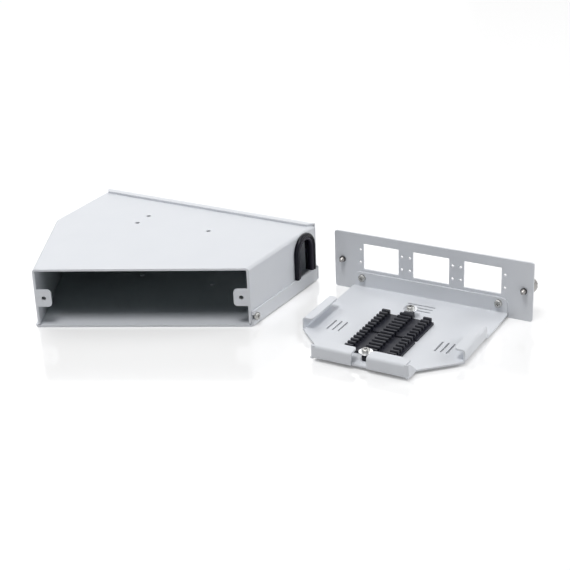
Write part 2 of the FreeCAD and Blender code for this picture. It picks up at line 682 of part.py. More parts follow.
def make_rail_clip_channel():
    """Folded channel with a fixed hook, a window for the latch, a spring stop and guide lugs."""
    half = CLIP_WIDTH / 2
    path = [(BACK_Y + FIT, MID_HEIGHT - half), (SEAT_Y, MID_HEIGHT - half), (SEAT_Y, MID_HEIGHT + half),
            (BACK_Y + FIT, MID_HEIGHT + half)]
    section = bent_section(path, CLIP_SHEET, BEND_INSIDE, lambda a, b: Vector(-CLIP_END, a, b))
    channel = section.extrude(Vector(2 * CLIP_END, 0, 0))
    gap = HOOK_WIDTH / 2 + HOOK_SIDE_GAP
    outer_x = HOOK_FACE_X + CLIP_SHEET
    bend = HOOK_BEND_INSIDE + CLIP_SHEET
    fixed_window = box(-outer_x - CLIP_WINDOW, bend - outer_x, WEB_Y - OVERCUT, SEAT_Y + OVERCUT,
                       MID_HEIGHT - gap, MID_HEIGHT + gap)
    latch_window = box(HOOK_TIP_X - MOVING_GAP, outer_x + LATCH_TRAVEL + MOVING_GAP, WEB_Y - OVERCUT,
                       SEAT_Y + OVERCUT, MID_HEIGHT - gap, MID_HEIGHT + gap)
    channel = channel.cut(fixed_window).cut(latch_window)
    low = MID_HEIGHT - HOOK_WIDTH / 2
    hook_path = [(-HOOK_TIP_X, HOOK_TOP_Y), (-outer_x, HOOK_TOP_Y), (-outer_x, WEB_Y), (-HOOK_TIP_X, WEB_Y)]
    hook = bent_section(hook_path, CLIP_SHEET, HOOK_BEND_INSIDE, lambda a, b: Vector(a, b, low))
    channel = channel.fuse(hook.extrude(Vector(0, 0, HOOK_WIDTH)))
    stop_x = SPRING_START_X + SPRING_LENGTH
    stop = box(stop_x, stop_x + CLIP_SHEET, SPRING_Y - SPRING_RADIUS, WEB_Y + CLIP_SHEET / 2,
               MID_HEIGHT - SPRING_RADIUS, MID_HEIGHT + SPRING_RADIUS)
    channel = channel.fuse(stop)
    lug_top = LATCH_Y - MOVING_GAP
    for x in (-LATCH_TAIL + LATCH_TRAVEL, CLIP_END - GUIDE_LENGTH):
        for way in (-1, 1):
            ends = sorted((MID_HEIGHT + way * (half - CLIP_SHEET / 2),
                           MID_HEIGHT + way * (half - CLIP_SHEET - GUIDE_REACH)))
            lug = box(x, x + GUIDE_LENGTH, lug_top - CLIP_SHEET, lug_top, ends[0], ends[1])
            channel = channel.fuse(lug)
    for along, across in rail_pattern():
        channel = channel.cut(rod(THREAD_RADIUS, Vector(along, BACK_Y, MID_HEIGHT + across),
                                  Vector(along, SEAT_Y + OVERCUT, MID_HEIGHT + across)))
    return channel.removeSplitter()


def make_rail_clip_spacers():
    """Spacers that hold the channel's face clear of the back wall."""
    height = WEB_Y - BACK_Y
    spacers = []
    for along, across in rail_pattern():
        spacer = ring(SPACER_RADIUS, SCREW_HOLE_RADIUS, height)
        spacers.append(placed(spacer, pointing(Vector(along, BACK_Y, MID_HEIGHT + across), Vector(0, 1, 0))))
    return Part.makeCompound(spacers)


def make_rail_clip_screws():
    """Screws from inside the casing, through the back wall and the spacers, into the channel."""
    shank = SHEET + CLIP_DEPTH - FIT
    screws = []
    for along, across in rail_pattern():
        place = pointing(Vector(along, BACK_Y - SHEET, MID_HEIGHT + across), Vector(0, -1, 0))
        screws.append(placed(pan_screw(shank), place))
    return Part.makeCompound(screws)


def make_rail_latch():
    """Sliding plate with the sprung hook, a window for the spring and a pull slot at its end."""
    half = CLIP_WIDTH / 2 - CLIP_SHEET - LATCH_SIDE_GAP
    outer_x = HOOK_FACE_X + CLIP_SHEET
    plate = box(-LATCH_TAIL, LATCH_PULL, LATCH_Y, LATCH_TOP_Y, MID_HEIGHT - half, MID_HEIGHT + half)
    plate = plate.makeFillet(PULL_SLOT_WIDTH, corner_edges(plate, ALONG_Y, lambda p: near(p.x, LATCH_PULL)))
    gap = HOOK_WIDTH / 2 + HOOK_SIDE_GAP
    screw_x = PATTERN_LENGTH / 2
    bend = HOOK_BEND_INSIDE + LATCH_SHEET
    plate = plate.cut(box(outer_x - bend, screw_x + SPACER_RADIUS + MOVING_GAP, LATCH_Y - OVERCUT,
                          LATCH_TOP_Y + OVERCUT, MID_HEIGHT - gap, MID_HEIGHT + gap))
    spring_gap = SPRING_RADIUS + SPRING_WIRE + MOVING_GAP
    stop_x = SPRING_START_X + SPRING_LENGTH + CLIP_SHEET
    plate = plate.cut(box(SPRING_START_X, stop_x + MOVING_GAP, LATCH_Y - OVERCUT, LATCH_TOP_Y + OVERCUT,
                          MID_HEIGHT - spring_gap, MID_HEIGHT + spring_gap))
    pusher = box(SPRING_START_X - LATCH_SHEET, SPRING_START_X, SPRING_Y - SPRING_RADIUS, LATCH_TOP_Y,
                 MID_HEIGHT - SPRING_RADIUS, MID_HEIGHT + SPRING_RADIUS)
    low = MID_HEIGHT - HOOK_WIDTH / 2
    path = [(HOOK_TIP_X, LATCH_Y), (outer_x, LATCH_Y), (outer_x, HOOK_TOP_Y), (HOOK_TIP_X, HOOK_TOP_Y)]
    hook = bent_section(path, LATCH_SHEET, HOOK_BEND_INSIDE, lambda a, b: Vector(a, b, low))
    latch = plate.fuse(pusher).fuse(hook.extrude(Vector(0, 0, HOOK_WIDTH)))
    turn = Rotation(Vector(0, 0, 1), Vector(0, 1, 0)).multiply(Rotation(Vector(0, 0, 1), 90))
    slot = placed(round_slot(PULL_SLOT_LENGTH, PULL_SLOT_WIDTH, STEP_OUT),
                  Placement(Vector(LATCH_PULL - 2 * PULL_SLOT_WIDTH, LATCH_Y, MID_HEIGHT), turn))
    return latch.cut(slot).removeSplitter()


def make_latch_spring():
    """Compression spring between the latch and the channel's stop, along X."""
    free = SPRING_LENGTH - 2 * (SPRING_WIRE + FIT)
    pitch = free / SPRING_TURNS
    helix = Part.makeHelix(pitch, free, SPRING_RADIUS)
    circle = Part.Wire(Part.Circle(Vector(SPRING_RADIUS, 0, 0), Vector(0, 1, 0), SPRING_WIRE).toShape())
    coil = Part.Wire(helix).makePipeShell([circle], True, True)
    start = Vector(SPRING_START_X + SPRING_WIRE + FIT, SPRING_Y, MID_HEIGHT)
    return placed(coil, pointing(start, Vector(1, 0, 0)))


# Drawer frame: x across the panel from its middle, y away from the viewer from the panel's
# inner face, z up from the panel's bottom edge. The panel stands a little nearer than the back wall.
DRAWER_X = BACK_RIGHT[0] + NESTED + STAND_APART + PANEL_WIDTH / 2
DRAWER_Y = BACK_Y - SHEET - PANEL_SETBACK
DRAWER = Placement(Vector(DRAWER_X, DRAWER_Y, 0), Rotation())
TRAY_FLOOR = TRAY_LIFT + TRAY_SHEET
CUTOUT_MIDDLE = CUTOUT_BOTTOM + CUTOUT_HEIGHT / 2


def make_front_panel():
    """Flat panel with three adapter cut-outs, their screw holes and the thumbscrew holes."""
    half = PANEL_WIDTH / 2
    panel = box(-half, half, 0, SHEET, 0, PANEL_HEIGHT)
    panel = panel.makeFillet(PANEL_CORNER, corner_edges(panel, ALONG_Y, lambda p: True))
    for i in range(CUTOUT_COUNT):
        middle = (i - (CUTOUT_COUNT - 1) / 2) * CUTOUT_PITCH
        reach = CUTOUT_WIDTH / 2
        panel = panel.cut(box(middle - reach, middle + reach, -OVERCUT, SHEET + OVERCUT, CUTOUT_BOTTOM,
                              CUTOUT_BOTTOM + CUTOUT_HEIGHT))
        for x in (-1, 1):
            for z in (-1, 1):
                hole_x, hole_z = middle + x * ADAPTER_HOLES_WIDE / 2, CUTOUT_MIDDLE + z * ADAPTER_HOLES_HIGH / 2
                panel = panel.cut(hole_through_panel(hole_x, hole_z, ADAPTER_HOLE_RADIUS))
    for way in (-1, 1):
        panel = panel.cut(hole_through_panel(way * THUMBSCREW_SPACING / 2, THUMBSCREW_HEIGHT,
                                             SHOULDER_RADIUS + SHOULDER_PLAY))
        panel = panel.cut(hole_through_panel(TRAY_OFFSET + way * TRAY_SCREW_SPACING / 2,
                                             TRAY_LIFT + TRAY_SCREW_ABOVE, SMALL_NUT_RADIUS + PRESS_PLAY))
    return placed(panel, DRAWER)


def hole_through_panel(x, z, radius):
    """Cutter for a round hole through the panel."""
    return rod(radius, Vector(x, -OVERCUT, z), Vector(x, SHEET + OVERCUT, z))


def tray_outline():
    """Plan of the tray in the drawer frame, anticlockwise from the near left corner."""
    half, near_half = TRAY_WIDTH / 2, TRAY_NEAR_WIDTH / 2
    knee = -TRAY_DEPTH + TRAY_NEAR_LENGTH
    return [(-near_half, -TRAY_DEPTH), (near_half, -TRAY_DEPTH), (near_half, knee), (half, -TRAY_STRAIGHT),
            (half, 0), (-half, 0), (-half, -TRAY_STRAIGHT), (-near_half, knee)]


TRAY_SIDES = ("near", "near_right", "taper_right", "right", "back", "left", "taper_left", "near_left")


def folded_wall(side, start, end, height, lip):
    """Cutter and wall for a stretch of one side of the tray, folded up and, with a lip, in again."""
    place, _ = side_frame(tray_outline(), TRAY_SIDES.index(side))
    top = TRAY_LIFT + height
    foot = [(0, TRAY_LIFT), (2 * TRAY_BEND_OUTSIDE, TRAY_LIFT)]
    path = ([(lip, top), (0, top)] if lip > 0 else [(0, top)]) + foot
    section = bent_section(path, TRAY_SHEET, TRAY_BEND_INSIDE, lambda a, b: Vector(start, a, b))
    wall = section.extrude(Vector(end - start, 0, 0))
    if lip > 0:
        corners = corner_edges(wall, ALONG_Z, lambda p: near(p.y, lip) and p.z > top - TRAY_SHEET - 0.01)
        wall = wall.makeFillet(LIP_CORNER, corners)
    else:
        wall = wall.makeFillet(TRAY_FLANGE_CORNER, corner_edges(wall, ALONG_Y, lambda p: near(p.z, top)))
    strip = box(start, end, -OVERCUT, TRAY_BEND_OUTSIDE, TRAY_LIFT - OVERCUT, TRAY_FLOOR + OVERCUT)
    return placed(strip, place), placed(wall, place)


def near_return(way):
    """Gusset folded back from an end of the near wall, standing on the floor and sloping down to it."""
    half = TRAY_NEAR_WIDTH / 2
    bend = TRAY_BEND_OUTSIDE
    back = -TRAY_DEPTH + TRAY_NEAR_LENGTH
    path = [(half - bend - OVERCUT, -TRAY_DEPTH), (half, -TRAY_DEPTH), (half, back)]
    bottom, top = TRAY_FLOOR - FIT, TRAY_LIFT + TRAY_WALL
    section = bent_section(path, TRAY_SHEET, TRAY_BEND_INSIDE, lambda a, b: Vector(a, b, bottom))
    flap = section.extrude(Vector(0, 0, top - bottom))
    slope = [Vector(0, -TRAY_DEPTH + bend, top), Vector(0, back, TRAY_FLOOR + GUSSET_END),
             Vector(0, back + OVERCUT, top)]
    flap = flap.cut(Part.Face(Part.makePolygon(slope + slope[:1])).extrude(Vector(half + OVERCUT, 0, 0)))
    return flap if way > 0 else flap.mirror(Vector(0, 0, 0), Vector(1, 0, 0))


def make_splice_tray():
    """Folded tray: floor, panel flange, two side walls and two near walls with lips, and tie slots."""
    corners = tray_outline()
    tray = prism(corners, TRAY_LIFT, TRAY_FLOOR)
    half_notch = NOTCH_WIDTH / 2
    near_length = TRAY_NEAR_WIDTH
    walls = [("back", TRAY_FLANGE_INSET, TRAY_WIDTH - TRAY_FLANGE_INSET, TRAY_FLANGE, 0),
             ("right", 0, TRAY_STRAIGHT - SIDE_WALL_START, TRAY_WALL, SIDE_LIP),
             ("left", SIDE_WALL_START, TRAY_STRAIGHT, TRAY_WALL, SIDE_LIP),
             ("near", TRAY_BEND_OUTSIDE, near_length / 2 - half_notch, TRAY_WALL, NEAR_LIP),
             ("near", near_length / 2 + half_notch, near_length - TRAY_BEND_OUTSIDE, TRAY_WALL, NEAR_LIP)]
    pieces = []
    for wall in walls:
        strip, folded = folded_wall(*wall)
        tray = tray.cut(strip)
        pieces.append(folded)
    pieces.extend([near_return(1), near_return(-1)])
    tray = tray.multiFuse(pieces).removeSplitter()
    tray = tray.cut(box(-half_notch, half_notch, -TRAY_DEPTH - OVERCUT, -TRAY_DEPTH + NOTCH_DEPTH, 0,
                        TRAY_FLOOR + OVERCUT))
    for way in (-1, 1):
        ends = sorted((way * TRAY_WIDTH / 2, way * (TRAY_WIDTH / 2 - TRAY_FLANGE_INSET)))
        tray = tray.cut(box(ends[0], ends[1], -TRAY_BEND_OUTSIDE, OVERCUT, 0, TRAY_FLOOR + OVERCUT))
    for cutter in tray_cutters():
        tray = tray.cut(cutter)
    return placed(tray, tray_place())


def tray_cutters():
    """Tie slots, comb nut holes and flange screw holes."""
    cutters = []
    for i in range(TIE_SLOT_COUNT):
        for way in (-1, 1):
            x = way * (SIDE_SLOT_INNER + i * TIE_SLOT_PITCH)
            slot = round_slot(SIDE_SLOT_LENGTH, TIE_SLOT_WIDTH, STEP_OUT)
            cutters.append(placed(slot, Placement(Vector(x, -SIDE_SLOT_MIDDLE, TRAY_FLOOR),
                                                  Rotation(Vector(0, 0, 1), 90))))
        slot = round_slot(BACK_SLOT_LENGTH, TIE_SLOT_WIDTH, STEP_OUT)
        y = max(comb_screw_rows()) * BACK_SLOT_SHARE + (i - (TIE_SLOT_COUNT - 1) / 2) * TIE_SLOT_PITCH
        cutters.append(placed(slot, Placement(Vector(0, y, TRAY_FLOOR), Rotation())))
    for y in comb_screw_rows():
        cutters.append(rod(COMB_NUT_RADIUS + PRESS_PLAY, Vector(0, y, 0),
                           Vector(0, y, TRAY_FLOOR + OVERCUT)))
    for way in (-1, 1):
        x, z = way * TRAY_SCREW_SPACING / 2, TRAY_LIFT + TRAY_SCREW_ABOVE
        cutters.append(rod(SCREW_HOLE_RADIUS, Vector(x, -TRAY_SHEET - OVERCUT, z), Vector(x, OVERCUT, z)))
    return cutters


def tray_place():
    """Placement of the tray's middle line."""
    return DRAWER.multiply(Placement(Vector(TRAY_OFFSET, 0, 0), Rotation()))


def make_tray_nuts():
    """Press-in nuts in the panel for the tray's two flange screws."""
    nuts = []
    for way in (-1, 1):
        nut = ring(SMALL_NUT_RADIUS, THREAD_RADIUS, SHEET + TRAY_NUT_PROUD)
        spot = Vector(TRAY_OFFSET + way * TRAY_SCREW_SPACING / 2, 0, TRAY_LIFT + TRAY_SCREW_ABOVE)
        nuts.append(placed(placed(nut, pointing(spot, Vector(0, 1, 0))), DRAWER))
    return Part.makeCompound(nuts)


def make_tray_screws():
    """Screws from the tray's side through its flange into the panel."""
    screws = []
    for way in (-1, 1):
        spot = Vector(way * TRAY_SCREW_SPACING / 2, -TRAY_SHEET, TRAY_LIFT + TRAY_SCREW_ABOVE)
        screw = placed(pan_screw(TRAY_SHEET + SHEET), pointing(spot, Vector(0, -1, 0)))
        screws.append(placed(screw, tray_place()))
    return Part.makeCompound(screws)


def comb_starts():
    """Near and far start of the two combs' teeth, as distances from the panel, with their direction."""
    far = COMB_START
    middle = far + COMB_LENGTH + COMB_JOIN / 2
    return [(far, 1), (2 * middle - far, -1)]


def comb_screw_rows():
    """Y of the two comb screws in the drawer frame."""
    return [-(start - way * COMB_SCREW_FROM_TEETH) for start, way in comb_starts()]


def comb_rail(width):
    """Toothed rail along -Y from the origin, across X, with beads that hold the splices down."""
    bead, waist = COMB_RAIL_TOP - COMB_BEAD_BELOW, COMB_RAIL_TOP - COMB_WAIST_BELOW
    floor = COMB_BASE + COMB_SLOT_FLOOR
    points = [(0.0, COMB_BASE / 2), (0.0, bead), (COMB_TAPER, COMB_RAIL_TOP)]
    for i in range(COMB_SLOTS):
        left = i * COMB_PITCH + COMB_TOOTH
        right = (i + 1) * COMB_PITCH
        points += [(left - COMB_TAPER, COMB_RAIL_TOP), (left + COMB_BEAD, bead), (left - COMB_TAPER / 2, waist)]
        points += [(left + COMB_TAPER, floor), (right - COMB_TAPER, floor), (right + COMB_TAPER / 2, waist)]
        points += [(right - COMB_BEAD, bead), (right + COMB_TAPER, COMB_RAIL_TOP)]
    points += [(COMB_LENGTH - COMB_TAPER, COMB_RAIL_TOP), (COMB_LENGTH, bead), (COMB_LENGTH, COMB_BASE / 2)]
    face_points = [Vector(-width / 2, -d, z) for d, z in points]
    face = Part.Face(Part.makePolygon(face_points + face_points[:1]))
    return face.extrude(Vector(width, 0, 0))


def make_comb(start, way):
    """One splice comb: base, three toothed rails and a screw post at its outer end."""
    half = COMB_BASE_WIDTH / 2
    base = box(-half, half, -COMB_LENGTH, 0, 0, COMB_BASE)
    solids = [comb_rail(COMB_MIDDLE_RAIL)]
    for x in (-1, 1):
        rail = comb_rail(COMB_SIDE_RAIL)
        solids.append(placed(rail, Placement(Vector(x * COMB_RAIL_SPREAD, 0, 0), Rotation())))
    wide = COMB_TAB_WIDTH / 2
    y_screw = COMB_SCREW_FROM_TEETH
    post = box(-wide, wide, -COMB_TOOTH / 2, y_screw, 0, COMB_POST)
    nose = rod(wide, Vector(0, y_screw, 0), Vector(0, y_screw, COMB_POST))
    comb = base.multiFuse(solids + [post, nose]).removeSplitter()
    below = Vector(0, y_screw, -OVERCUT)
    comb = comb.cut(rod(SCREW_HOLE_RADIUS, below, Vector(0, y_screw, COMB_POST + OVERCUT)))
    comb = comb.cut(rod(COMB_NUT_RADIUS + FIT, below, Vector(0, y_screw, COMB_NUT_HEIGHT + FIT)))
    turn = Rotation(Vector(0, 0, 1), 0 if way > 0 else 180)
    return placed(comb, tray_place().multiply(Placement(Vector(0, -start, TRAY_FLOOR), turn)))


def make_comb_screws():
    """Screws that hold each comb's post to the tray."""
    height = TRAY_FLOOR + COMB_POST + WASHER_THICKNESS
    shank = height - TRAY_LIFT - FIT
    screws = [placed(placed(pan_screw(shank), Placement(Vector(0, y, height), Rotation())), tray_place())
              for y in comb_screw_rows()]
    return Part.makeCompound(screws)


def make_comb_washers():
    """Wide washers under the comb screws' heads."""
    washers = []
    for y in comb_screw_rows():
        washer = ring(WASHER_RADIUS, SCREW_HOLE_RADIUS, WASHER_THICKNESS)
        spot = Placement(Vector(0, y, TRAY_FLOOR + COMB_POST), Rotation())
        washers.append(placed(placed(washer, spot), tray_place()))
    return Part.makeCompound(washers)


def make_comb_nuts():
    """Press-in nuts in the tray's floor, level with its underside, each under a comb's post."""
    nuts = []
    for y in comb_screw_rows():
        nut = ring(COMB_NUT_RADIUS, THREAD_RADIUS, TRAY_SHEET + COMB_NUT_HEIGHT)
        nuts.append(placed(placed(nut, Placement(Vector(0, y, TRAY_LIFT), Rotation())), tray_place()))
    return Part.makeCompound(nuts)


def make_thumbscrew(way):
    """Captive knurled thumbscrew: knob and collar outside, shoulder through the panel, thin tip inside."""
    outside = SHEET + MOVING_GAP
    knob_start = outside + COLLAR_LENGTH
    knob_end = knob_start + KNOB_LENGTH
    ring_at = -MOVING_GAP - RING_THICKNESS
    shoulder_end = ring_at - SHOULDER_END
    rim = KNOB_RADIUS - KNOB_EDGE
    profile = [(0, -TIP_LENGTH), (TIP_RADIUS - TIP_POINT, -TIP_LENGTH), (TIP_RADIUS, -TIP_LENGTH + TIP_POINT)]
    profile += [(TIP_RADIUS, shoulder_end), (SHOULDER_RADIUS, shoulder_end), (SHOULDER_RADIUS, ring_at)]
    profile += [(TIP_RADIUS, ring_at), (TIP_RADIUS, -MOVING_GAP), (SHOULDER_RADIUS, -MOVING_GAP)]
    profile += [(SHOULDER_RADIUS, outside), (COLLAR_RADIUS, outside), (COLLAR_RADIUS, knob_start)]
    profile += [(rim, knob_start), (KNOB_RADIUS, knob_start + KNOB_EDGE), (KNOB_RADIUS, knob_end - KNOB_EDGE)]
    profile += [(rim, knob_end), (0, knob_end)]
    points = [Vector(r, y, 0) for r, y in profile]
    screw = Part.Face(Part.makePolygon(points + points[:1])).revolve(Vector(0, 0, 0), Vector(0, 1, 0), 360)
    flutes = []
    for i in range(KNOB_FLUTES):
        flute = box(-FLUTE_HALF, FLUTE_HALF, knob_start - OVERCUT, knob_end + OVERCUT, -FLUTE_HALF,
                    FLUTE_HALF)
        flute.rotate(Vector(0, 0, 0), Vector(0, 1, 0), 45)
        flute.translate(Vector(KNOB_RADIUS + FLUTE_OUT, 0, 0))
        flute.rotate(Vector(0, 0, 0), Vector(0, 1, 0), i * 360 / KNOB_FLUTES)
        flutes.append(flute)
    screw = screw.cut(Part.makeCompound(flutes))
    screw = screw.cut(box(-KNOB_RADIUS, KNOB_RADIUS, knob_end - KNOB_SLOT_DEPTH, knob_end + OVERCUT,
                          -KNOB_SLOT_WIDTH / 2, KNOB_SLOT_WIDTH / 2))
    return placed(screw, thumbscrew_place(way))


def make_retaining_ring(way):
    """Open ring in the thumbscrew's groove, which keeps it in the panel."""
    body = ring(RING_RADIUS, TIP_RADIUS + FIT / 2, RING_THICKNESS)
    half = math.radians(RING_OPENING / 2)
    reach = 2 * RING_RADIUS
    points = [Vector(0, 0, -OVERCUT), Vector(-reach * math.sin(half), -reach * math.cos(half), -OVERCUT),
              Vector(reach * math.sin(half), -reach * math.cos(half), -OVERCUT)]
    mouth = Part.Face(Part.makePolygon(points + points[:1]))
    wedge = mouth.extrude(Vector(0, 0, RING_THICKNESS + 2 * OVERCUT))
    body = body.cut(wedge)
    return placed(placed(body, pointing(Vector(0, -MOVING_GAP, 0), Vector(0, -1, 0))), thumbscrew_place(way))


def thumbscrew_place(way):
    """Placement of a thumbscrew's axis where it leaves the panel's inner face."""
    return DRAWER.multiply(Placement(Vector(way * THUMBSCREW_SPACING / 2, 0, THUMBSCREW_HEIGHT), Rotation()))


def main():
    """Builds every piece and writes one STEP file for each node."""
    combs = comb_starts()
    nodes = {
        "lower_shell": make_lower_shell(),
        "upper_shell": make_upper_shell(),
        "tab_nuts": make_tab_nuts(),
        "shell_screws": make_shell_screws(),
        "shell_nuts": make_shell_nuts(),
        "cable_grommet": make_cable_grommet(),
        "rail_clip_channel": make_rail_clip_channel(),
        "rail_clip_spacers": make_rail_clip_spacers(),
        "rail_clip_screws": make_rail_clip_screws(),
        "rail_latch": make_rail_latch(),
        "latch_spring": make_latch_spring(),
        "front_panel": make_front_panel(),
        "splice_tray": make_splice_tray(),
        "tray_screws": make_tray_screws(),
        "tray_nuts": make_tray_nuts(),
        "splice_comb_far": make_comb(*combs[0]),
        "splice_comb_near": make_comb(*combs[1]),
        "comb_screws": make_comb_screws(),
        "comb_washers": make_comb_washers(),
        "comb_nuts": make_comb_nuts(),
        "thumbscrew_left": make_thumbscrew(-1),
        "thumbscrew_right": make_thumbscrew(1),
        "retaining_ring_left": make_retaining_ring(-1),
        "retaining_ring_right": make_retaining_ring(1),
    }
    os.makedirs("parts", exist_ok=True)
    for name, shape in nodes.items():
        size = shape.BoundBox
        ends = (size.XMin, size.XMax, size.YMin, size.YMax, size.ZMin, size.ZMax)
        ends = [round(v, 2) for v in ends]
        print(name, len(shape.Solids), "solids", shape.isValid(), round(shape.Volume, 1), ends)
        shape.exportStep("parts/" + name + ".step")


main()
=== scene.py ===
"""Looks for the splice box: powder-coated sheet steel, moulded combs, rubber edging, zinc and black steel."""

import logging
import math
from dataclasses import dataclass
from enum import Enum
from typing import Dict, Iterable, List, Optional, Sequence, Tuple

import bmesh
import bpy
import numpy as np
from mathutils import Matrix, Vector


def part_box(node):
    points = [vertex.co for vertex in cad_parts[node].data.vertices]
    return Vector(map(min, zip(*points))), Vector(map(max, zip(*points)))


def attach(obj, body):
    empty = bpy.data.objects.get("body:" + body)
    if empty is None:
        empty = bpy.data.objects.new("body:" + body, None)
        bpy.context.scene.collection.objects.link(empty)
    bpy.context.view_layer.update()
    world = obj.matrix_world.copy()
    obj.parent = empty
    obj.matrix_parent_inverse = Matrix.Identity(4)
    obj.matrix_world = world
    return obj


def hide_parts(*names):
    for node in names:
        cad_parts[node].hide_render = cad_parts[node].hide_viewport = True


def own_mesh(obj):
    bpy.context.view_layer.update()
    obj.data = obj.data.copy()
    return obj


LOG = logging.getLogger("splice_box")
MM = 0.001
BEVEL_SAMPLES = 6
SMOOTH_DEG = 35.0

# Name of the mesh attribute that marks where rubber has a painted sheen, a lighter colour
PAINTED_SHEEN_ATTRIBUTE = "painted_sheen"

# Sockets of a mix node that mixes colours
MIX_FACTOR = 0
MIX_COLOURS = (6, 7)
MIX_RESULT = 2

Colour = Tuple[float, float, float]
Socket = bpy.types.NodeSocket

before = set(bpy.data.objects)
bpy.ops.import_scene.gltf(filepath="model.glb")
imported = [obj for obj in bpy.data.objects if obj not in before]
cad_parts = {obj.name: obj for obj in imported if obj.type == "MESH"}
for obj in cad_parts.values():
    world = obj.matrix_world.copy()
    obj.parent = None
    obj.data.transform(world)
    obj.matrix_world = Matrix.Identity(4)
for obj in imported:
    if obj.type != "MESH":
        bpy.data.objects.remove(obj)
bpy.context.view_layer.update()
NODES: Dict[str, bpy.types.Object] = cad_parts


def rgba(colour: Colour) -> Tuple[float, float, float, float]:
    """Returns a colour with full opacity."""
    return (colour[0], colour[1], colour[2], 1.0)


class Lay(Enum):
    """How a finish's fine marks lie on the surface."""

    EVEN = "even"
    DRAWN = "drawn"
    TURNED = "turned"


# Cells of the fine marks per metre, along X and across it
LAY_RATES: Dict[Lay, Tuple[float, float]] = {
    Lay.EVEN: (4000.0, 4000.0),
    Lay.DRAWN: (250.0, 7000.0),
    Lay.TURNED: (6000.0, 900.0),
}


def feed(tree: bpy.types.NodeTree, value: object, socket: Socket) -> None:
    """Gives a socket its value, by a link where the value is itself a socket.

    Args:
        tree: the tree of both sockets.
        value: a socket, a number or a colour with opacity.
        socket: the input.
    """
    if isinstance(value, Socket):
        tree.links.new(value, socket)
    else:
        socket.default_value = value


class GroupBuilder:
    """Builds one shader node group with named sockets.

    Args:
        name: the group's name.
        inputs: float inputs as name and default.
        outputs: float outputs.
    """

    def __init__(self, name: str, inputs: Dict[str, float], outputs: Sequence[str]) -> None:
        self.tree = bpy.data.node_groups.new(name, "ShaderNodeTree")
        for label, value in inputs.items():
            socket = self.tree.interface.new_socket(label, in_out="INPUT", socket_type="NodeSocketFloat")
            socket.default_value = value
        for label in outputs:
            self.tree.interface.new_socket(label, in_out="OUTPUT", socket_type="NodeSocketFloat")
        self.source = self.tree.nodes.new("NodeGroupInput")
        self.sink = self.tree.nodes.new("NodeGroupOutput")

    def node(self, kind: str, **values: object) -> bpy.types.Node:
        """Adds a node and sets its properties.

        Args:
            kind: the node's type name.
            values: properties by name.

        Returns:
            The node.
        """
        node = self.tree.nodes.new(kind)
        for key, value in values.items():
            setattr(node, key, value)
        return node

    def link(self, start: Socket, end: Socket) -> None:
        """Joins two sockets."""
        self.tree.links.new(start, end)

    def math(self, operation: str, first: object, second: object = 0.0) -> Socket:
        """Adds a math node on sockets or numbers.

        Args:
            operation: what the node works out.
            first: the first value.
            second: the second value.

        Returns:
            The result.
        """
        node = self.node("ShaderNodeMath", operation=operation)
        for slot, value in enumerate((first, second)):
            feed(self.tree, value, node.inputs[slot])
        return node.outputs[0]

    def ramp(self, value: Socket, low: object, high: object) -> Socket:
        """Maps a value to a smooth 0..1.

        Args:
            value: the value.
            low: number or socket that gives 0.
            high: number or socket that gives 1.

        Returns:
            The mapped value.
        """
        node = self.node("ShaderNodeMapRange", interpolation_type="SMOOTHSTEP")
        for label, limit in (("From Min", low), ("From Max", high)):
            feed(self.tree, limit, node.inputs[label])
        self.link(value, node.inputs["Value"])
        return node.outputs["Result"]


def noise(build: GroupBuilder, vector: Socket, scale: object, detail: float) -> Socket:
    """Adds a noise texture.

    Args:
        build: the group being built.
        vector: the place that the noise is read at.
        scale: a number or a socket, in cells per metre.
        detail: octaves.

    Returns:
        The noise's value.
    """
    node = build.node("ShaderNodeTexNoise")
    build.link(vector, node.inputs["Vector"])
    feed(build.tree, scale, node.inputs["Scale"])
    node.inputs["Detail"].default_value = detail
    return node.outputs[0]


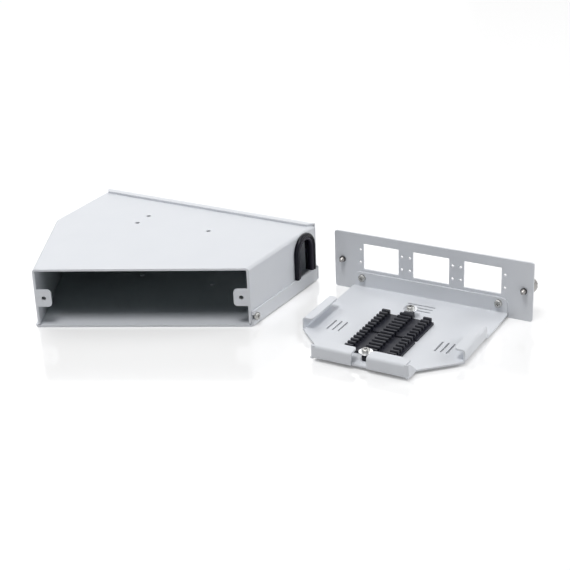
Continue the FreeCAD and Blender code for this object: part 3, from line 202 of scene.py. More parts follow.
class SharedEffects:
    """Node groups that several finishes use.

    CLOUDS, PATCHES and DUST_PATCHES are a noise's cells per metre and octaves. The other pairs are values where
    a mask begins and is full. EDGE_TURN is 1 less the turn's cosine, and DUST_SLOPE the normal's upward share.
    """

    CLOUDS = (38.0, 3.0)
    PATCHES = (260.0, 2.0)
    DUST_PATCHES = (120.0, 5.0)
    EDGE_TURN = (0.02, 0.22)
    EDGE_BREAK = (0.35, 0.65)
    DUST_SLOPE = (0.3, 1.0)
    DUST_BREAK = (0.4, 0.75)

    def __init__(self) -> None:
        self.grain = self._grain()
        self.streaks = self._streaks()
        self.edges = self._edges()
        self.dust = self._dust()

    def _grain(self) -> bpy.types.NodeTree:
        """Makes the fine pebble of a cured coat or a moulded skin, with slow cloudy variation.

        Returns:
            The node group.
        """
        build = GroupBuilder("surface_grain", {"Cells": 2400.0}, ("Height", "Cloud"))
        place = build.node("ShaderNodeTexCoord").outputs["Object"]
        fine = noise(build, place, build.source.outputs["Cells"], detail=2.0)
        build.link(fine, build.sink.inputs["Height"])
        build.link(noise(build, place, *self.CLOUDS), build.sink.inputs["Cloud"])
        return build.tree

    def _streaks(self) -> bpy.types.NodeTree:
        """Makes the fine marks of rolled or turned metal, with their own rates along X and across it.

        Returns:
            The node group.
        """
        build = GroupBuilder("metal_streaks", {"Along": 300.0, "Across": 6000.0}, ("Height", "Patch"))
        place = build.node("ShaderNodeTexCoord").outputs["Object"]
        join = build.node("ShaderNodeCombineXYZ")
        split = build.node("ShaderNodeSeparateXYZ")
        build.link(place, split.inputs[0])
        for axis, rate in (("X", "Along"), ("Y", "Across"), ("Z", "Across")):
            scaled = build.math("MULTIPLY", split.outputs[axis], build.source.outputs[rate])
            build.link(scaled, join.inputs[axis])
        build.link(noise(build, join.outputs[0], scale=1.0, detail=3.0), build.sink.inputs["Height"])
        build.link(noise(build, place, *self.PATCHES), build.sink.inputs["Patch"])
        return build.tree

    def _edges(self) -> bpy.types.NodeTree:
        """Makes a mask that is 1 on sharp edges: how far the rounded normal turns from the true one.

        Returns:
            The node group.
        """
        build = GroupBuilder("edge_mask", {"Reach": 0.4 * MM, "Breakup": 900.0}, ("Mask",))
        bevel = build.node("ShaderNodeBevel", samples=BEVEL_SAMPLES)
        build.link(build.source.outputs["Reach"], bevel.inputs["Radius"])
        geometry = build.node("ShaderNodeNewGeometry")
        dot = build.node("ShaderNodeVectorMath", operation="DOT_PRODUCT")
        build.link(bevel.outputs[0], dot.inputs[0])
        build.link(geometry.outputs["Normal"], dot.inputs[1])
        turned = build.ramp(build.math("SUBTRACT", 1.0, dot.outputs["Value"]), *self.EDGE_TURN)
        place = build.node("ShaderNodeTexCoord").outputs["Object"]
        flecks = noise(build, place, build.source.outputs["Breakup"], detail=3.0)
        broken = build.ramp(flecks, *self.EDGE_BREAK)
        build.link(build.math("MULTIPLY", turned, broken), build.sink.inputs["Mask"])
        return build.tree

    def hollow(self, plan: "HollowPlan") -> bpy.types.NodeTree:
        """Makes the mask of painted shade in the casing's inside: 0 outside and at the mouth, rising to 1 deep
        in the hollow.

        It is the product of smooth steps on the distance in from each wall, from the floor and from the top,
        and of long ramps on the depth behind the mouth and on the distance from the cable entry.

        Args:
            plan: the casing's outline and heights.

        Returns:
            The node group.
        """
        build = GroupBuilder("painted_shade_mask", {"Begin": plan.ramp[0], "Full": plan.ramp[1]}, ("Mask",))
        place = build.node("ShaderNodeTexCoord").outputs["Object"]
        mask = None
        for index, (normal, offset) in enumerate(plan.planes()):
            dot = build.node("ShaderNodeVectorMath", operation="DOT_PRODUCT")
            build.link(place, dot.inputs[0])
            dot.inputs[1].default_value = normal
            inward = build.math("SUBTRACT", dot.outputs["Value"], offset)
            if index == 0:
                step = build.ramp(inward, build.source.outputs["Begin"], build.source.outputs["Full"])
            else:
                step = build.ramp(inward, plan.skin, plan.skin + plan.blur)
            mask = step if mask is None else build.math("MULTIPLY", mask, step)
        apart = build.node("ShaderNodeVectorMath", operation="DISTANCE")
        build.link(place, apart.inputs[0])
        apart.inputs[1].default_value = plan.entry
        mask = build.math("MULTIPLY", mask, build.ramp(apart.outputs["Value"], *plan.entry_ramp))
        build.link(mask, build.sink.inputs["Mask"])
        return build.tree

    def _dust(self) -> bpy.types.NodeTree:
        """Makes a mask of fine dust: faces that look up, broken by noise.

        Returns:
            The node group.
        """
        build = GroupBuilder("dust_mask", {"Amount": 0.2}, ("Mask",))
        geometry = build.node("ShaderNodeNewGeometry")
        split = build.node("ShaderNodeSeparateXYZ")
        build.link(geometry.outputs["Normal"], split.inputs[0])
        up = build.ramp(split.outputs["Z"], *self.DUST_SLOPE)
        place = build.node("ShaderNodeTexCoord").outputs["Object"]
        patches = build.ramp(noise(build, place, *self.DUST_PATCHES), *self.DUST_BREAK)
        amount = build.math("MULTIPLY", build.math("MULTIPLY", up, patches), build.source.outputs["Amount"])
        build.link(amount, build.sink.inputs["Mask"])
        return build.tree


class MaterialBuilder:
    """Puts one material together from a principled shader and the shared groups."""

    def __init__(self, name: str) -> None:
        self.material = bpy.data.materials.new(name)
        self.material.use_nodes = True
        self.tree = self.material.node_tree
        self.shader = self.tree.nodes["Principled BSDF"]

    def set(self, **values: object) -> None:
        """Sets plain numbers and colours on the shader's own sockets; underscores stand for spaces."""
        for key, value in values.items():
            self.shader.inputs[key.replace("_", " ")].default_value = value

    def group(self, tree: bpy.types.NodeTree, **values: float) -> bpy.types.Node:
        """Places a shared group.

        Args:
            tree: the group.
            values: its inputs by name.

        Returns:
            The node.
        """
        node = self.tree.nodes.new("ShaderNodeGroup")
        node.node_tree = tree
        for key, value in values.items():
            node.inputs[key].default_value = value
        return node

    def mix(self, mask: Socket, first: object, second: object) -> Socket:
        """Mixes two colours by a mask.

        Args:
            mask: 0 for the first colour, 1 for the second.
            first: a colour or a socket.
            second: a colour or a socket.

        Returns:
            The mixed colour.
        """
        node = self.tree.nodes.new("ShaderNodeMix")
        node.data_type = "RGBA"
        self.tree.links.new(mask, node.inputs[MIX_FACTOR])
        for slot, value in zip(MIX_COLOURS, (first, second)):
            feed(self.tree, value if isinstance(value, Socket) else rgba(value), node.inputs[slot])
        return node.outputs[MIX_RESULT]

    def span(self, value: Socket, low: float, high: float) -> Socket:
        """Maps 0..1 to another range.

        Args:
            value: the value.
            low: what 0 becomes.
            high: what 1 becomes.

        Returns:
            The mapped value.
        """
        node = self.tree.nodes.new("ShaderNodeMapRange")
        node.inputs["To Min"].default_value = low
        node.inputs["To Max"].default_value = high
        self.tree.links.new(value, node.inputs["Value"])
        return node.outputs["Result"]

    def link(self, start: Socket, socket: str) -> None:
        """Joins a value to one of the shader's sockets."""
        self.tree.links.new(start, self.shader.inputs[socket])

    def attribute(self, name: str) -> Socket:
        """Reads the value that a mesh carries on its points.

        Args:
            name: the attribute's name.

        Returns:
            The value.
        """
        node = self.tree.nodes.new("ShaderNodeAttribute")
        node.attribute_name = name
        return node.outputs["Fac"]

    def bump(self, height: Socket, distance: float, strength: float, rounding: float = 0.0) -> None:
        """Feeds the normal with a bump and, where rounding is over 0, softened edges.

        Args:
            height: the bump's height, 0..1.
            distance: the depth of a full bump.
            strength: the bump's share.
            rounding: the radius of softened edges.
        """
        bump = self.tree.nodes.new("ShaderNodeBump")
        bump.inputs["Distance"].default_value = distance
        bump.inputs["Strength"].default_value = strength
        self.tree.links.new(height, bump.inputs["Height"])
        if rounding > 0:
            bevel = self.tree.nodes.new("ShaderNodeBevel")
            bevel.samples = BEVEL_SAMPLES
            bevel.inputs["Radius"].default_value = rounding
            self.tree.links.new(bevel.outputs[0], bump.inputs["Normal"])
        self.tree.links.new(bump.outputs[0], self.shader.inputs["Normal"])


@dataclass(frozen=True)
class HollowPlan:
    """The casing's outline from above and its height, for telling inside from outside where shade is painted.
    Lengths are in metres.

    Args:
        corners: the outline's corners anticlockwise, the mouth's two first.
        height: top of the upper shell.
        skin: distance in from an outer face at which the inside begins.
        blur: length of the step there.
        ramp: depths behind the mouth where the mask begins and is full.
        entry: middle of the cable entry.
        entry_ramp: distances from it where the mask begins and is full.
    """

    corners: Tuple[Tuple[float, float], ...] = ((-0.04611, -0.10748), (0.08788, -0.04557), (0.09230, 0.04180),
                                                (-0.08760, 0.04180), (-0.08760, -0.02570))
    height: float = 0.0434
    skin: float = 0.9 * MM
    blur: float = 0.3 * MM
    ramp: Tuple[float, float] = (1.5 * MM, 34.0 * MM)
    entry: Tuple[float, float, float] = (0.0914, 0.0243, 0.0250)
    entry_ramp: Tuple[float, float] = (22.0 * MM, 52.0 * MM)

    def planes(self) -> List[Tuple[Tuple[float, float, float], float]]:
        """Works out the planes that bound the casing.

        Returns:
            Each plane as its inward normal and its offset along it, the mouth's first.
        """
        found = []
        for (x0, y0), (x1, y1) in zip(self.corners, self.corners[1:] + self.corners[:1]):
            length = math.hypot(x1 - x0, y1 - y0)
            normal = ((y0 - y1) / length, (x1 - x0) / length, 0.0)
            found.append((normal, normal[0] * x0 + normal[1] * y0))
        return found + [((0.0, 0.0, 1.0), 0.0), ((0.0, 0.0, -1.0), -self.height)]


@dataclass(frozen=True)
class PowderCoat:
    """Cured powder coat: a fine even pebble, faint clouding, thinner and brighter on edges."""

    name: str = "light_grey_powder_coat"
    colour: Colour = (0.790, 0.812, 0.852)
    clouded: Colour = (0.765, 0.790, 0.832)
    edge: Colour = (0.800, 0.818, 0.850)
    roughness: Tuple[float, float] = (0.40, 0.50)
    cells: float = 1900.0
    pebble: float = 0.012 * MM
    edge_rounding: float = 0.28 * MM
    breakup: float = 700.0
    wear: float = 0.55
    ior: float = 1.5

    def build(self, shared: SharedEffects) -> bpy.types.Material:
        """Makes the material.

        Args:
            shared: the shared node groups.

        Returns:
            The material.
        """
        make = MaterialBuilder(self.name)
        grain = make.group(shared.grain, Cells=self.cells)
        edges = make.group(shared.edges, Reach=self.edge_rounding, Breakup=self.breakup)
        colour = make.mix(grain.outputs["Cloud"], self.colour, self.clouded)
        colour = make.mix(make.span(edges.outputs["Mask"], 0.0, self.wear), colour, self.edge)
        make.link(self.with_painted_shade(make, shared, colour), "Base Color")
        make.link(make.span(grain.outputs["Cloud"], *self.roughness), "Roughness")
        make.bump(grain.outputs["Height"], self.pebble, 1.0, self.edge_rounding)
        make.set(IOR=self.ior)
        return make.material

    def with_painted_shade(self, make: MaterialBuilder, shared: SharedEffects, colour: Socket) -> Socket:
        """Returns the colour unchanged: this coat has no painted shade."""
        return colour


@dataclass(frozen=True)
class ShadedCasingCoat(PowderCoat):
    """The same coat on the casing, with painted shade deep in the hollow: its colour darkens there towards a
    dark grey.
    """

    name: str = "casing_coat_painted_shade"
    # painted shade: the dark grey that the casing's inside darkens to
    painted_shade: Colour = (0.345, 0.385, 0.400)
    plan: HollowPlan = HollowPlan()

    def with_painted_shade(self, make: MaterialBuilder, shared: SharedEffects, colour: Socket) -> Socket:
        """Returns the coat's colour mixed towards the painted shade's dark grey by depth in the hollow."""
        hollow = make.group(shared.hollow(self.plan))
        # painted shade inside the casing, lighter towards the mouth and the cable entry
        return make.mix(hollow.outputs["Mask"], colour, self.painted_shade)


@dataclass(frozen=True)
class Moulding:
    """Moulded plastic or rubber with a fine skin, worn on edges, a little dusty, and with a painted sheen, a
    lighter colour, where so marked.
    """

    name: str
    colour: Colour
    worn: Colour
    dusty: Colour
    roughness: Tuple[float, float]
    cells: float
    skin: float
    dust: float
    edge_rounding: float
    coat: float = 0.0
    specular: float = 0.25
    # painted sheen: a lighter colour for rubber where the mesh marks it
    painted_sheen: Optional[Colour] = None
    breakup: float = 1500.0
    wear: float = 0.7
    ior: float = 1.5
    coat_roughness: float = 0.14

    def build(self, shared: SharedEffects) -> bpy.types.Material:
        """Makes the material.

        Args:
            shared: the shared node groups.

        Returns:
            The material.
        """
        make = MaterialBuilder(self.name)
        grain = make.group(shared.grain, Cells=self.cells)
        edges = make.group(shared.edges, Reach=self.edge_rounding, Breakup=self.breakup)
        dust = make.group(shared.dust, Amount=self.dust)
        base = self.colour
        if self.painted_sheen:
            # painted sheen: mixes towards the lighter colour where the mesh marks it
            base = make.mix(make.attribute(PAINTED_SHEEN_ATTRIBUTE), self.colour, self.painted_sheen)
        colour = make.mix(make.span(edges.outputs["Mask"], 0.0, self.wear), base, self.worn)
        make.link(make.mix(dust.outputs["Mask"], colour, self.dusty), "Base Color")
        make.link(make.span(grain.outputs["Cloud"], *self.roughness), "Roughness")
        make.bump(grain.outputs["Height"], self.skin, 1.0, self.edge_rounding)
        make.set(IOR=self.ior, Specular_IOR_Level=self.specular, Coat_Weight=self.coat,
                 Coat_Roughness=self.coat_roughness)
        return make.material


@dataclass(frozen=True)
class Metal:
    """Bare or plated metal with drawn-out marks and cloudy plating."""

    name: str
    colour: Colour
    clouded: Colour
    worn: Colour
    roughness: Tuple[float, float]
    marks: float
    lay: Lay
    metallic: float = 1.0
    edge_rounding: float = 0.15 * MM
    breakup: float = 2500.0

    def build(self, shared: SharedEffects) -> bpy.types.Material:
        """Makes the material.

        Args:
            shared: the shared node groups.

        Returns:
            The material.
        """
        make = MaterialBuilder(self.name)
        along, across = LAY_RATES[self.lay]
        streaks = make.group(shared.streaks, Along=along, Across=across)
        edges = make.group(shared.edges, Reach=self.edge_rounding, Breakup=self.breakup)
        colour = make.mix(streaks.outputs["Patch"], self.colour, self.clouded)
        make.link(make.mix(edges.outputs["Mask"], colour, self.worn), "Base Color")
        make.link(make.span(streaks.outputs["Patch"], *self.roughness), "Roughness")
        make.bump(streaks.outputs["Height"], self.marks, 1.0, self.edge_rounding)
        make.set(Metallic=self.metallic)
        return make.material


COAT = PowderCoat()
SHADED_CASING_COAT = ShadedCasingCoat()
# the rubber's lighter colour is a painted sheen on the edging's inner roll
RUBBER = Moulding(
    name="black_edging_rubber",
    colour=(0.004, 0.004, 0.010), worn=(0.020, 0.020, 0.032), dusty=(0.06, 0.06, 0.075),
    roughness=(0.20, 0.32), cells=3200.0, skin=0.006 * MM, dust=0.04, edge_rounding=0.20 * MM, coat=0.06,
    specular=0.14, painted_sheen=(0.034, 0.031, 0.048))
PLASTIC = Moulding(
    name="black_comb_plastic",
    colour=(0.007, 0.008, 0.015), worn=(0.055, 0.062, 0.095), dusty=(0.15, 0.145, 0.17),
    roughness=(0.34, 0.48), cells=2600.0, skin=0.010 * MM, dust=0.16, edge_rounding=0.12 * MM, coat=0.0,
    specular=0.30)
SCREW_ZINC = Metal(
    name="dull_zinc_screws",
    colour=(0.44, 0.44, 0.43), clouded=(0.32, 0.32, 0.31), worn=(0.62, 0.62, 0.61),
    roughness=(0.20, 0.36), marks=0.003 * MM, lay=Lay.EVEN)
WASHER_ZINC = Metal(
    name="bright_zinc_washers",
    colour=(0.80, 0.81, 0.82), clouded=(0.72, 0.73, 0.75), worn=(0.88, 0.89, 0.90),
    roughness=(0.22, 0.36), marks=0.003 * MM, lay=Lay.EVEN)
TURNED_NICKEL = Metal(
    name="nickel_thumbscrews",
    colour=(0.36, 0.35, 0.34), clouded=(0.26, 0.25, 0.245), worn=(0.56, 0.55, 0.53),
    roughness=(0.22, 0.36), marks=0.003 * MM, lay=Lay.TURNED)
CLIP_STEEL = Metal(
    name="zinc_plated_strip",
    colour=(0.52, 0.53, 0.55), clouded=(0.42, 0.43, 0.45), worn=(0.66, 0.67, 0.69),
    roughness=(0.28, 0.44), marks=0.004 * MM, lay=Lay.DRAWN)
WIRE = Metal(
    name="spring_wire",
    colour=(0.55, 0.55, 0.57), clouded=(0.45, 0.45, 0.47), worn=(0.65, 0.65, 0.67),
    roughness=(0.25, 0.4), marks=0.002 * MM, lay=Lay.DRAWN)
BLACKENED = Metal(
    name="blackened_steel",
    colour=(0.030, 0.030, 0.034), clouded=(0.045, 0.045, 0.050), worn=(0.16, 0.16, 0.17),
    roughness=(0.30, 0.45), marks=0.003 * MM, lay=Lay.EVEN, metallic=0.6)


@dataclass(frozen=True)
class PhotoCamera:
    """Camera fitted to the photograph. Lengths are in metres in the row frame.

    Args:
        place: where the camera stands.
        aim: the point in the middle of the picture.
        roll_deg: turn about the line of sight.
        focal_px: focal length in pixels of a picture that is picture_px wide.
        picture_px: that width.
        sensor_mm: width of the sensor.
        clip_start: nearest that it sees.
    """

    place: Tuple[float, float, float] = (0.5266, -0.76282, 0.411656)
    aim: Tuple[float, float, float] = (0.075507, 0.023862, 0.0)
    roll_deg: float = -2.3645
    focal_px: float = 1374.91
    picture_px: float = 570.0
    sensor_mm: float = 36.0
    clip_start: float = 0.01

    def build(self) -> bpy.types.Object:
        """Creates the camera and makes it the scene's own.

        Returns:
            The camera.
        """
        data = bpy.data.cameras.new("photo_camera")
        data.sensor_fit = "HORIZONTAL"
        data.sensor_width = self.sensor_mm
        data.lens = self.focal_px / self.picture_px * self.sensor_mm
        data.clip_start = self.clip_start
        camera = bpy.data.objects.new("photo_camera", data)
        forward = (Vector(self.aim) - Vector(self.place)).normalized()
        right = forward.cross(Vector((0, 0, 1))).normalized()
        up = right.cross(forward)
        roll = math.radians(self.roll_deg)
        across = right * math.cos(roll) + up * math.sin(roll)
        above = up * math.cos(roll) - right * math.sin(roll)
        turn = Matrix((across, above, -forward)).transposed().to_4x4()
        camera.matrix_world = Matrix.Translation(Vector(self.place)) @ turn
        bpy.context.scene.collection.objects.link(camera)
        bpy.context.scene.camera = camera
        return camera


@dataclass(frozen=True)
class SoftLight:
    """One large square lamp that looks at a point."""

    name: str
    place: Tuple[float, float, float]
    aim: Tuple[float, float, float]
    size: float
    watts: float
    colour: Colour = (1.0, 1.0, 1.0)

    def build(self) -> bpy.types.Object:
        """Creates the lamp.

        Returns:
            The lamp.
        """
        data = bpy.data.lights.new(self.name, "AREA")
        data.shape = "SQUARE"
        data.size = self.size
        data.energy = self.watts
        data.color = self.colour
        lamp = bpy.data.objects.new(self.name, data)
        lamp.location = self.place
        lamp.rotation_euler = (Vector(self.aim) - Vector(self.place)).to_track_quat("-Z", "Y").to_euler()
        bpy.context.scene.collection.objects.link(lamp)
        return lamp


@dataclass(frozen=True)
class Studio:
    """White floor that keeps the shadow, a pale surround and soft lamps.

    Args:
        seen_floor: brightness of the floor to the camera and in mirrors.
        lit_floor: brightness of the floor where it only throws light back.
        floor_glow: the seen floor's own light in the open.
        cover_reach: height up to which a cover takes that light away.
        wall_share: open share of the sky, as beside a wall, from which the light is full.
        surround: strength of the surround as a light.
    """

    floor_half: float = 6.0
    floor_drop: float = 0.05 * MM
    seen_floor: float = 0.66
    lit_floor: float = 0.85
    floor_glow: float = 0.40
    cover_reach: float = 6.0 * MM
    wall_share: float = 0.5
    floor_gloss_ior: float = 1.9
    floor_gloss_roughness: float = 0.12
    surround: float = 0.0
    lamps: Tuple[SoftLight, ...] = (
        SoftLight("overhead_front_softbox", (0.12, -0.50, 1.35), (0.08, 0.0, 0.0), size=0.5, watts=10.5),
        SoftLight("left_softbox", (-0.60, 0.10, 1.00), (0.08, 0.0, 0.0), size=0.7, watts=4.4),
        SoftLight("right_rear_softbox", (1.15, 0.72, 0.72), (0.08, 0.0, 0.0), size=0.7, watts=6.6),
        SoftLight("right_low_softbox", (1.35, 0.20, 0.45), (0.08, 0.0, 0.0), size=0.6, watts=1.6),
        SoftLight("left_rear_softbox", (-0.70, 1.10, 0.60), (0.08, 0.0, 0.0), size=1.0, watts=2.0),
    )

    def build(self) -> None:
        """Creates the floor, the world and the lamps."""
        self._floor()
        self._world()
        for lamp in self.lamps:
            lamp.build()

    @staticmethod
    def _seen(tree: bpy.types.NodeTree) -> Socket:
        """Adds nodes that tell seen rays from lighting rays.

        Args:
            tree: the node tree to add to.

        Returns:
            1 for what the camera, a mirror or glass looks at, else 0.
        """
        path = tree.nodes.new("ShaderNodeLightPath")
        total = path.outputs["Is Camera Ray"]
        for ray in ("Is Glossy Ray", "Is Transmission Ray"):
            node = tree.nodes.new("ShaderNodeMath")
            node.operation = "MAXIMUM"
            tree.links.new(total, node.inputs[0])
            tree.links.new(path.outputs[ray], node.inputs[1])
            total = node.outputs[0]
        return total

    def _floor(self) -> None:
        """Creates the floor as one flat square under the object."""
        half, level = self.floor_half, -self.floor_drop
        mesh = bpy.data.meshes.new("studio_floor")
        corners = [(-half, -half, level), (half, -half, level), (half, half, level), (-half, half, level)]
        mesh.from_pydata(corners, [], [(0, 1, 2, 3)])
        make = MaterialBuilder("studio_white")
        make.set(Roughness=self.floor_gloss_roughness, IOR=self.floor_gloss_ior,
                 Emission_Color=rgba((1.0, 1.0, 1.0)))
        seen = self._seen(make.tree)
        make.link(make.mix(seen, (self.lit_floor,) * 3, (self.seen_floor,) * 3), "Base Color")
        open_above = make.tree.nodes.new("ShaderNodeAmbientOcclusion")
        open_above.inputs["Distance"].default_value = self.cover_reach
        open_share = make.tree.nodes.new("ShaderNodeMapRange")
        open_share.inputs["From Max"].default_value = self.wall_share
        open_share.inputs["To Max"].default_value = self.floor_glow
        make.tree.links.new(open_above.outputs["AO"], open_share.inputs["Value"])
        glow = make.tree.nodes.new("ShaderNodeMath")
        glow.operation = "MULTIPLY"
        make.tree.links.new(seen, glow.inputs[0])
        make.tree.links.new(open_share.outputs["Result"], glow.inputs[1])
        make.link(glow.outputs[0], "Emission Strength")
        mesh.materials.append(make.material)
        floor = bpy.data.objects.new("studio_floor", mesh)
        bpy.context.scene.collection.objects.link(floor)

    def _world(self) -> None:
        """Sets the surround: white where it is seen, and as strong as the field says where it lights."""
        world = bpy.data.worlds.new("studio_surround")
        world.use_nodes = True
        bpy.context.scene.world = world
        tree = world.node_tree
        background = tree.nodes["Background"]
        background.inputs["Color"].default_value = rgba((1.0, 1.0, 1.0))
        strength = tree.nodes.new("ShaderNodeMapRange")
        strength.inputs["To Min"].default_value = self.surround
        strength.inputs["To Max"].default_value = 1.0
        tree.links.new(self._seen(tree), strength.inputs["Value"])
        tree.links.new(strength.outputs["Result"], background.inputs["Strength"])


def closed_mesh(name: str, points: np.ndarray, faces: np.ndarray, merge: float) -> bpy.types.Object:
    """Puts a worked-out surface into a mesh, closes its seams, poles and ends, and turns its faces out.

    Args:
        name: the object's name.
        points: one row of three lengths for each point.
        faces: one row of four point numbers for each face.
        merge: points nearer than this become one.

    Returns:
        The object, which shades smoothly across edges of less than SMOOTH_DEG.
    """
    mesh = bpy.data.meshes.new(name)
    mesh.from_pydata(points.tolist(), [], faces.tolist())
    work = bmesh.new()
    work.from_mesh(mesh)
    bmesh.ops.remove_doubles(work, verts=work.verts, dist=merge)
    bmesh.ops.dissolve_degenerate(work, edges=work.edges, dist=merge / 4)
    bmesh.ops.holes_fill(work, edges=[edge for edge in work.edges if edge.is_boundary], sides=0)
    bmesh.ops.recalc_face_normals(work, faces=work.faces)
    open_edges = sum(1 for edge in work.edges if len(edge.link_faces) != 2)
    work.to_mesh(mesh)
    work.free()
    mesh.polygons.foreach_set("use_smooth", np.ones(len(mesh.polygons), bool))
    mesh.set_sharp_from_angle(angle=math.radians(SMOOTH_DEG))
    piece = bpy.data.objects.new(name, mesh)
    bpy.context.scene.collection.objects.link(piece)
    LOG.info("%s has %d faces and %d open edges", name, len(mesh.polygons), open_edges)
    return piece


def ring_faces(rows: int, columns: int) -> np.ndarray:
    """Works out the faces between rows of points that each close on themselves.

    Args:
        rows: how many rows there are.
        columns: points in a row.

    Returns:
        One row of four point numbers for each face.
    """
    index = np.arange(rows * columns).reshape(rows, columns)
    following = np.roll(index, -1, axis=1)
    return np.stack([index[:-1], index[1:], following[1:], following[:-1]], axis=-1).reshape(-1, 4)


def dress(names: Iterable[str], material: bpy.types.Material) -> None:
    """Gives CAD nodes a material.

    Args:
        names: node names.
        material: their finish.
    """
    for name in names:
        mesh = NODES[name].data
        mesh.materials.clear()
        mesh.materials.append(material)
        LOG.info("dressed %s in %s", name, material.name)


@dataclass(frozen=True)
class Turning:
    """A turned thumbscrew on an axis along Y, as columns of angles by rows of a profile.

    The knob's skin is its profile radius less a rounded groove for each flute, and the tip's skin is its
    profile radius less a wave that climbs one pitch each turn. The outer end is a grid of chords across the
    rim, so that the slot has straight edges. Lengths are in metres, and places from the panel's inner face.

    Args:
        axis_x: the axis across the panel.
        axis_z: the axis above the floor.
        inner_face: the panel's inner face along Y, from which the profile is measured.
        flutes: grooves round the knob.
        flute_depth: depth of each.
        slot_width: width of the slot across the knob's end.
        slot_depth: depth of that slot.
        pitch: climb of the tip's thread in one turn.
        thread_depth: depth of the thread.
        columns: angles round the axis.
        rim_radius: radius of the knob's flat ends.
        groove: places of the retaining ring's groove.
        thread_ease: length over which the thread runs out.
        thread_lag: share of that length that stays plain.
        flute_share: width of a flute as a share of its spacing.
        flute_power: power that rounds a flute's bottom.
        least_gap: least gap between a column and an edge of the slot, as a share of a column's step.
        merge: points nearer than this become one.
    """

    axis_x: float
    axis_z: float
    inner_face: float
    flutes: int = 24
    flute_depth: float = 0.50 * MM
    slot_width: float = 1.2 * MM
    slot_depth: float = 1.2 * MM
    pitch: float = 0.5 * MM
    thread_depth: float = 0.20 * MM
    columns: int = 192
    tip_radius: float = 1.4 * MM
    shoulder_radius: float = 1.75 * MM
    collar_radius: float = 3.6 * MM
    knob_radius: float = 5.5 * MM
    rim_radius: float = 4.9 * MM
    tip_end: float = -4.2 * MM
    shoulder_end: float = -1.4 * MM
    groove: Tuple[float, float] = (-1.1 * MM, -0.3 * MM)
    collar_start: float = 1.8 * MM
    knob_start: float = 2.8 * MM
    knob_end: float = 12.6 * MM
    tip_chamfer: float = 0.4 * MM
    collar_chamfer: float = 0.2 * MM
    knob_round: float = 0.6 * MM
    thread_ease: float = 0.35 * MM
    thread_lag: float = 0.4
    thread_rows: int = 46
    knob_rows: int = 13
    round_rows: int = 6
    flute_share: float = 0.55
    flute_power: float = 0.7
    least_gap: float = 0.35
    merge: float = 0.004 * MM

    def profile(self) -> Tuple[np.ndarray, np.ndarray, np.ndarray, np.ndarray]:
        """Works out the rows of the profile.

        Returns:
            Each row's place along the axis, its radius, and how much thread and fluting it has, 0 to 1.
        """
        tip = np.linspace(self.tip_end + self.tip_chamfer, self.shoulder_end - 0.05 * MM, self.thread_rows)
        thread = np.clip((self.shoulder_end - tip) / self.thread_ease - self.thread_lag, 0.0, 1.0)
        knob = np.linspace(self.knob_start + self.knob_round, self.knob_end - self.knob_round, self.knob_rows)
        bevel = np.linspace(0.0, np.pi / 2, self.round_rows)
        near = self.knob_start + self.knob_round - self.knob_round * np.cos(bevel)
        far = self.knob_end - self.knob_round + self.knob_round * np.sin(bevel)
        swell = self.rim_radius + self.knob_round * np.sin(bevel)
        low, high = self.groove
        shank = [(self.shoulder_end, self.tip_radius), (self.shoulder_end, self.shoulder_radius),
                 (low, self.shoulder_radius), (low, self.tip_radius), (high, self.tip_radius),
                 (high, self.shoulder_radius), (self.collar_start, self.shoulder_radius),
                 (self.collar_start, self.collar_radius - self.collar_chamfer)]
        collar = [(self.collar_start + self.collar_chamfer, self.collar_radius),
                  (self.knob_start, self.collar_radius), (self.knob_start, self.rim_radius)]
        end = [(self.tip_end, 0.0), (self.tip_end, self.tip_radius - self.tip_chamfer)]
        parts = [
            (*np.array(end).T, 0.0, 0.0),
            (tip, np.full(tip.size, self.tip_radius), thread, 0.0),
            (*np.array(shank).T, 0.0, 0.0),
            (*np.array(collar).T, 0.0, 0.0),
            (near[1:], swell[1:], 0.0, np.sin(bevel[1:])),
            (knob[1:-1], np.full(knob.size - 2, self.knob_radius), 0.0, 1.0),
            (far, swell[::-1], 0.0, np.cos(bevel)),
        ]
        along = np.concatenate([part[0] for part in parts])
        radius = np.concatenate([part[1] for part in parts])
        thread = np.concatenate([np.broadcast_to(part[2], part[0].shape) for part in parts])
        fluted = np.concatenate([np.broadcast_to(part[3], part[0].shape) for part in parts])
        return along, radius, thread, fluted

    def angles(self) -> Tuple[np.ndarray, np.ndarray]:
        """Works out the columns. The slot runs along X, and each edge is given twice, outside and inside.

        Returns:
            The columns' angles from the X axis, in order, and which of them lie in the slot.
        """
        step = 2 * np.pi / self.columns
        even = (np.arange(self.columns) + 0.5) * step - np.pi
        edge = math.asin(self.slot_width / 2 / self.rim_radius)
        edges = np.array([-np.pi + edge, -edge, edge, np.pi - edge])
        clear = np.abs(even[:, None] - edges[None, :]).min(axis=1) > self.least_gap * step
        even = even[clear]
        inside = np.abs(np.sin(even)) < np.sin(edge)
        angle = np.concatenate([even, edges, edges])
        slotted = np.concatenate([inside, np.zeros(4, bool), np.ones(4, bool)])
        outward = np.concatenate([np.zeros(even.size), [1.0, -1.0, 1.0, -1.0], [0.0] * 4])
        order = np.lexsort((outward, angle))
        return angle[order], slotted[order]

